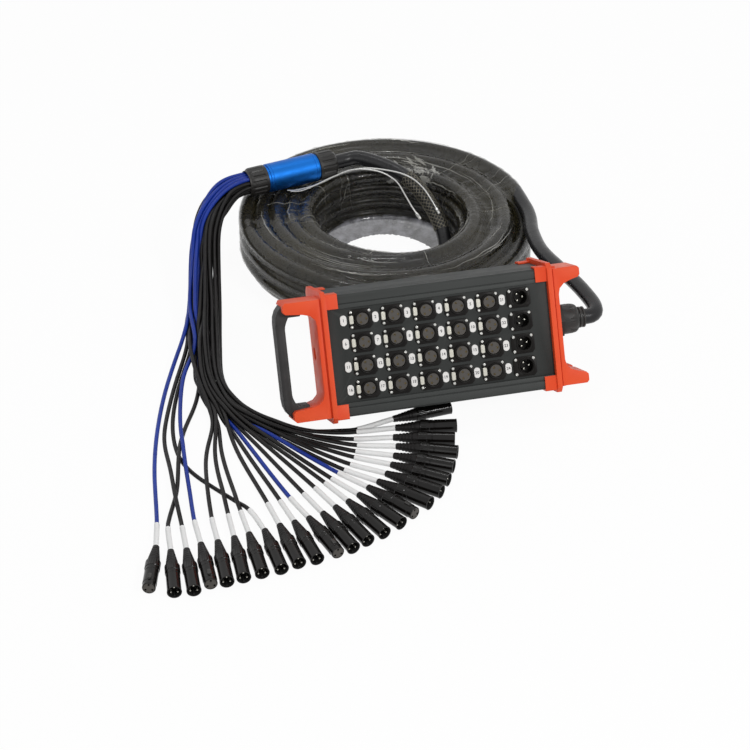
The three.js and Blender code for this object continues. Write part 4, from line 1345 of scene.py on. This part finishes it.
# Clear film wound round the coil
FILM_GAP = 0.7
FILM_TURN_STEPS = 320
FILM_SECTION_STEPS = 104
FILM_DIRECTIONS = 40
FILM_BLEND = 5
FILM_HUG = 0.85
FILM_DIP = 4
FILM_SEAMS = 15
FILM_SEAM_RISE = 0.9
FILM_SEAM_WIDTH = 0.012
FILM_OVERLAP = 0.16
FILM_OVERLAP_RISE = 0.35
FILM_FOLD = 1.3
FILM_LOWEST = 0.25
FILM_SMOOTH_ANGLE = 60
LEAST_FACING = 0.05
FOLD_START = 0.72
FOLD_SCALE = 16
FOLD_SWING = 2
PATCH_SCALE = 1.7
PATCH_SEED = 9
PATCH_BASE = 0.35
CREASE_STEPS = 36
CREASE_WAVER = 2.5
WAVER_SCALES = (5, 7)
CREASE_RISE = 0.5
CREASE_LIFT = 0.5
SECTION_STEP = 3.5
CROSS_FOLDS = 34
# Sets of creases: how many, then the ranges of first angle, span, first row, rows and width,
# where rows are shares of a section
# The first set is a painted patch of white glints, the second painted highlight streaks along the turns
CREASE_SETS = (
    (30, (0.62, 1.2), (0.05, 0.2), (0.31, 0.42), (-0.07, 0.02), (2, 7)),
    (46, (-math.pi, math.pi), (0.25, 0.95), (0.08, 0.45), (-0.02, 0.02), (0.7, 2.2)),
)


def turn_centres(angle):
    """Centres of the turns that pass at an angle round the coil, as (radius, height)."""
    centres = []
    turn = (math.pi - angle) / (2 * math.pi) - 2
    while turn <= COIL_END:
        if turn >= COIL_START:
            point = coil_point(turn)
            centres.append(Vector((math.dist(point.xy, COIL_CENTRE), point.z)))
        turn += 1
    return centres


def directions(count):
    """Unit vectors all round, in (radius, height)."""
    angles = [2 * math.pi * k / count for k in range(count)]
    return [Vector((math.cos(angle), math.sin(angle))) for angle in angles]


def film_sections():
    """For each angle, the hull round the turns there, as (spot, outward) pairs."""
    angles = [2 * math.pi * i / FILM_TURN_STEPS - math.pi for i in range(FILM_TURN_STEPS)]
    ways = directions(FILM_DIRECTIONS)
    middle = Vector(((COIL_INNER_RADIUS + COIL_OUTER_RADIUS) / 2, COIL_LEVELS * COIL_PITCH / 2))
    centres = [turn_centres(angle) for angle in angles]
    supports = [[max((c - middle).dot(way) for c in near) for way in ways] for near in centres]
    sections = []
    for i, near in enumerate(centres):
        around = [supports[(i + j) % len(angles)] for j in range(-FILM_BLEND, FILM_BLEND + 1)]
        reach = [sum(own[k] for own in around) / len(around) + TRUNK_DIAMETER / 2 for k in range(len(ways))]
        section = []
        for ray in directions(FILM_SECTION_STEPS):
            facing = [(ray.dot(way), support, way) for support, way in zip(reach, ways)]
            limits = [(support / share, way) for share, support, way in facing if share > LEAST_FACING]
            distance, outward = min(limits, key=lambda limit: limit[0])
            spot = middle + ray * distance
            gap = max(min((spot - c).length for c in near) - TRUNK_DIAMETER / 2, 0)
            spot -= outward * min(gap * FILM_HUG, FILM_DIP)
            section.append((spot, outward))
        sections.append(section)
    return sections


def film_spot(spot, angle):
    """A point of a section in the row frame."""
    x = COIL_CENTRE[0] + spot.x * math.cos(angle)
    return mm(x, COIL_CENTRE[1] + spot.x * math.sin(angle), max(spot.y, FILM_LOWEST))


def film_object(name, bm, look):
    return place(name, with_looks(mesh_from(name, bm, FILM_SMOOTH_ANGLE), look))


def make_film(sections):
    """The film itself, with the seams of its turns and small folds."""
    chance = random.Random(4)
    seams = [
        2 * math.pi * (i + chance.uniform(-0.3, 0.3)) / FILM_SEAMS - math.pi for i in range(FILM_SEAMS)
    ]
    slants = [chance.uniform(-0.12, 0.2) for _ in seams]
    bm = bmesh.new()
    rings = []
    for i, section in enumerate(sections):
        turn = 2 * math.pi * i / FILM_TURN_STEPS - math.pi
        x, y = math.cos(turn), math.sin(turn)
        patch = noise.noise(Vector((x * PATCH_SCALE, y * PATCH_SCALE, PATCH_SEED)))
        patch = max(patch + PATCH_BASE, 0)
        ring = []
        for k, (spot, outward) in enumerate(section):
            swing = math.sin(2 * math.pi * k / len(section))
            rise = 0
            for seam, slant in zip(seams, slants):
                apart = math.remainder(turn - seam - slant * swing, 2 * math.pi)
                rise = max(rise, FILM_SEAM_RISE * math.exp(-((apart / FILM_SEAM_WIDTH) ** 2)))
                if 0 < apart < FILM_OVERLAP:
                    rise = max(rise, FILM_OVERLAP_RISE)
            fold = 1 - abs(noise.noise(Vector((x * FOLD_SCALE, y * FOLD_SCALE, swing * FOLD_SWING))))
            fold = max(fold - FOLD_START, 0) / (1 - FOLD_START)
            lift = FILM_GAP + rise + FILM_FOLD * fold * patch
            ring.append(bm.verts.new(film_spot(spot + outward * lift, turn)))
        rings.append(ring)
    skin(bm, [*rings, rings[0]])
    return film_object("coil_film", bm, "film")


def crease(bm, sections, start, span, first, rows, width):
    """Adds a narrow ridge on the film, from an angle over a span of angles and over some section rows."""
    length = math.hypot(span * COIL_OUTER_RADIUS, rows * SECTION_STEP)
    across = (rows * SECTION_STEP / length, span * COIL_OUTER_RADIUS / length)
    lines = []
    for k in range(CREASE_STEPS + 1):
        along = k / CREASE_STEPS
        at = Vector((start * WAVER_SCALES[0], along * WAVER_SCALES[1], first))
        waver = CREASE_WAVER * noise.noise(at)
        half = width * math.sin(math.pi * along) / 2
        line = []
        for side, rise in ((-half, 0), (0, CREASE_RISE), (half, 0)):
            turn = start + span * along + (side + waver) * across[0] / COIL_OUTER_RADIUS
            row = first + rows * along - (side + waver) * across[1] / SECTION_STEP
            line.append(bm.verts.new(film_surface(sections, turn, row, FILM_GAP + CREASE_LIFT + rise)))
        lines.append(line)
    skin(bm, lines, False)


def film_surface(sections, turn, row, lift):
    """A point over the film, between the sampled angles and rows."""
    at = (turn + math.pi) / (2 * math.pi) * FILM_TURN_STEPS
    i, k = math.floor(at), math.floor(row)
    corners = [
        [sections[(i + a) % FILM_TURN_STEPS][(k + b) % FILM_SECTION_STEPS] for b in (0, 1)] for a in (0, 1)
    ]
    spots = [near[0].lerp(far[0], row - k) for near, far in corners]
    outward = corners[0][0][1]
    return film_spot(spots[0].lerp(spots[1], at - i) + outward * lift, turn)


def make_folds(sections):
    """Narrow creases in the film with a whitish look: mostly painted highlight streaks and glints, partly
    film that lies double and looks whiter.
    """
    chance = random.Random(9)
    bm = bmesh.new()
    steps = FILM_SECTION_STEPS
    # Creases across the turns: painted white lines at the film's edges, partly doubled film
    for _ in range(CROSS_FOLDS):
        start, span = chance.uniform(-math.pi, math.pi), chance.uniform(-0.25, 0.25)
        first, rows = chance.randrange(steps), chance.uniform(steps / 8, steps / 3)
        crease(bm, sections, start, span, first, rows, chance.uniform(0.5, 1.9))
    for count, *ranges in CREASE_SETS:
        for _ in range(count):
            start, span, first, rows, width = [chance.uniform(*pair) for pair in ranges]
            crease(bm, sections, start, span, first * steps, rows * steps, width)
    return film_object("film_folds", bm, "fold")


HAZE_MIDDLE = math.radians(78)
HAZE_SPREAD = 1.9
HAZE_RIPPLE = 2.2
# Ripples in the skirt: share, scale and place in the noise
HAZE_RIPPLES = ((1, 16, (0, 3)), (0.6, 45, (2, 0)))
HAZE_STEPS = 160
HAZE_LEVELS = 8
HAZE_TOP = 12
HAZE_FLARE = 36


def make_haze():
    """The slack skirt of the film that bulges over the floor in the hole; its dark, nearly opaque look
    paints the shade there, and its lighter streaks are painted glints.
    """
    bm = bmesh.new()
    rings = []
    inner = COIL_INNER_RADIUS - TRUNK_DIAMETER / 2 - FILM_GAP
    for i in range(HAZE_STEPS + 1):
        side = 2 * i / HAZE_STEPS - 1
        turn = HAZE_MIDDLE + HAZE_SPREAD * side
        ripple = sum(share * noise.noise(Vector((turn * scale, *at))) for share, scale, at in HAZE_RIPPLES)
        flare = HAZE_FLARE * (1 - side**4)
        ring = []
        for k in range(HAZE_LEVELS + 1):
            down = k / HAZE_LEVELS
            radius = inner - flare * down * down + HAZE_RIPPLE * ripple * down
            ring.append(bm.verts.new(film_spot(Vector((radius, HAZE_TOP * (1 - down) ** 1.5)), turn)))
        rings.append(ring)
    skin(bm, rings, False)
    return film_object("film_skirt", bm, "skirt_shade")


wrap = film_sections()
film = make_film(wrap)
folds = make_folds(wrap)
skirt_shade = make_haze()


# Cable connectors
BARREL_SIDES = 40
BOOT_RINGS = 5
BOOT_RING_PITCH = 4.4
BOOT_TAPER = 0.62
COLLAR_RIBS = 20
COLLAR_RIB_DEPTH = 0.35


def plug_base(bm):
    """Adds the boot and collar shared by both kinds, along +Z, and gives the start of the barrel."""
    boot = [(0, 0), (3.6, 0), (4.3, 0.6), (4.6, 4)]
    for i in range(BOOT_RINGS):
        foot = 6 + i * BOOT_RING_PITCH
        radius = 4.9 + i * BOOT_TAPER
        boot += [(radius, foot), (radius - 0.55, foot + 0.5)]
        boot += [(radius - 0.45, foot + 1.4), (radius + 0.25, foot + 1.9)]
    top = BOOT_LENGTH
    lathe(bm, [*boot, (8.1, top - 1.4), (8.2, top)], 32, 1)
    collar = [
        (8.0, top - 0.6), (9.1, top - 0.6), (9.5, top), (9.5, top + 2, True),
        (9.5, top + 10, True), (9.5, top + 11.4), (9.1, top + 12), (8.8, top + 12.2),
    ]
    lathe(bm, collar, COLLAR_RIBS * RIB_STEPS, 0, COLLAR_RIBS, COLLAR_RIB_DEPTH)
    radius = BARREL_DIAMETER / 2
    return [
        (radius, top + 12.2), (radius, top + 17.2), (radius - 0.5, top + 17.6),
        (radius - 0.5, top + 18.8), (radius, top + 19.2),
    ]


def male_plug_mesh():
    bm = bmesh.new()
    barrel = plug_base(bm)
    radius = BARREL_DIAMETER / 2
    bore = PLUG_BORE / 2
    end = PLUG_LENGTH
    floor = end - PLUG_BORE_DEPTH
    barrel += [
        (radius, end - 1.2), (radius + 0.3, end - 1), (radius + 0.3, end - 0.3), (radius - 0.1, end),
        (bore + 0.2, end), (bore, end - 0.3),
    ]
    lathe(bm, barrel, BARREL_SIDES)
    # Bore wall, floor and key carry the painted shade look of the deep bore
    lathe(bm, [(bore, end - 0.3), (bore, floor), (0, floor)], BARREL_SIDES, 2)
    pin = [(1.25, floor), (1.25, floor + 10.2), (0.9, floor + 10.8), (0, floor + 11.1)]
    for spot in pin_spots(math.pi / 2):
        lathe(bm, pin, 14, 3, matrix=spot)
    key = [(1.3, floor), (1.3, end - 2), (0, end - 1.6)]
    lathe(bm, key, 8, 2, matrix=shifted(0, -7.2, 0))
    mesh = mesh_from("male_plug", bm, TURNED_SMOOTH_ANGLE)
    return with_looks(mesh, "connector", "boot", "hole_shade", "nickel")


def female_plug_mesh():
    bm = bmesh.new()
    barrel = plug_base(bm)
    radius = BARREL_DIAMETER / 2
    end = PLUG_LENGTH
    barrel += [
        (radius, end - 8), (radius - 0.5, end - 7.6), (radius - 0.5, end - 0.8), (radius - 1.1, end),
        (7.2, end), (7.0, end - 1),
    ]
    lathe(bm, barrel, BARREL_SIDES)
    face = lathe(bmesh.new(), [(0, end - 4), (7.0, end - 4), (7.0, end - 0.4), (0, end - 0.4)], 36)
    cutter = bmesh.new()
    for spot in pin_spots(math.pi / 2):
        lathe(cutter, [(0, end - 3), (1.4, end - 3), (1.4, end + 1), (0, end + 1)], 14, matrix=spot)
    face = carve(mesh_from("plug_face", face), mesh_from("plug_holes", cutter))
    # The contact holes get the painted shade look
    mark_contacts(face.polygons, lambda part: part.center, end - 0.9, 6.6, 2, 3)
    bm.from_mesh(face)
    mesh = mesh_from("female_plug", bm, TURNED_SMOOTH_ANGLE)
    return with_looks(mesh, "connector", "boot", "hole_shade", "socket_face")


SLEEVE_RUN = 54
SLEEVE_DIAMETER = 6.9


def white_sleeve(number, points):
    """The white sleeve over the end of a tail, just behind its connector."""
    run = []
    left = SLEEVE_RUN * MM
    for a, b in zip(reversed(points), reversed(points[:-1])):
        run.append(a)
        left -= (b - a).length
        if left < 0:
            break
    return tube_object(f"white_sleeve_{number:02d}", run, SLEEVE_DIAMETER * MM, "white_sleeve", None)


male_plug = male_plug_mesh()
female_plug = female_plug_mesh()
for number, (x, y, heading) in enumerate(PLUG_PLACES, 1):
    spot = lying(mm(x, y, PLUG_DIAMETER / 2), heading) @ Matrix.Rotation(math.pi / 2, 4, "Z")
    mesh = female_plug if number in FEMALE_PLUGS else male_plug
    plug = stand_in(f"connector_{number:02d}", mesh, spot, "connector_metal")
    pieces = [plug, white_sleeve(number, tails[number - 1][1])]
    if number in FEMALE_PLUGS:
        name = f"latch_button_{number:02d}"
        pieces.append(soften(name, "black", 0.3, body=name))
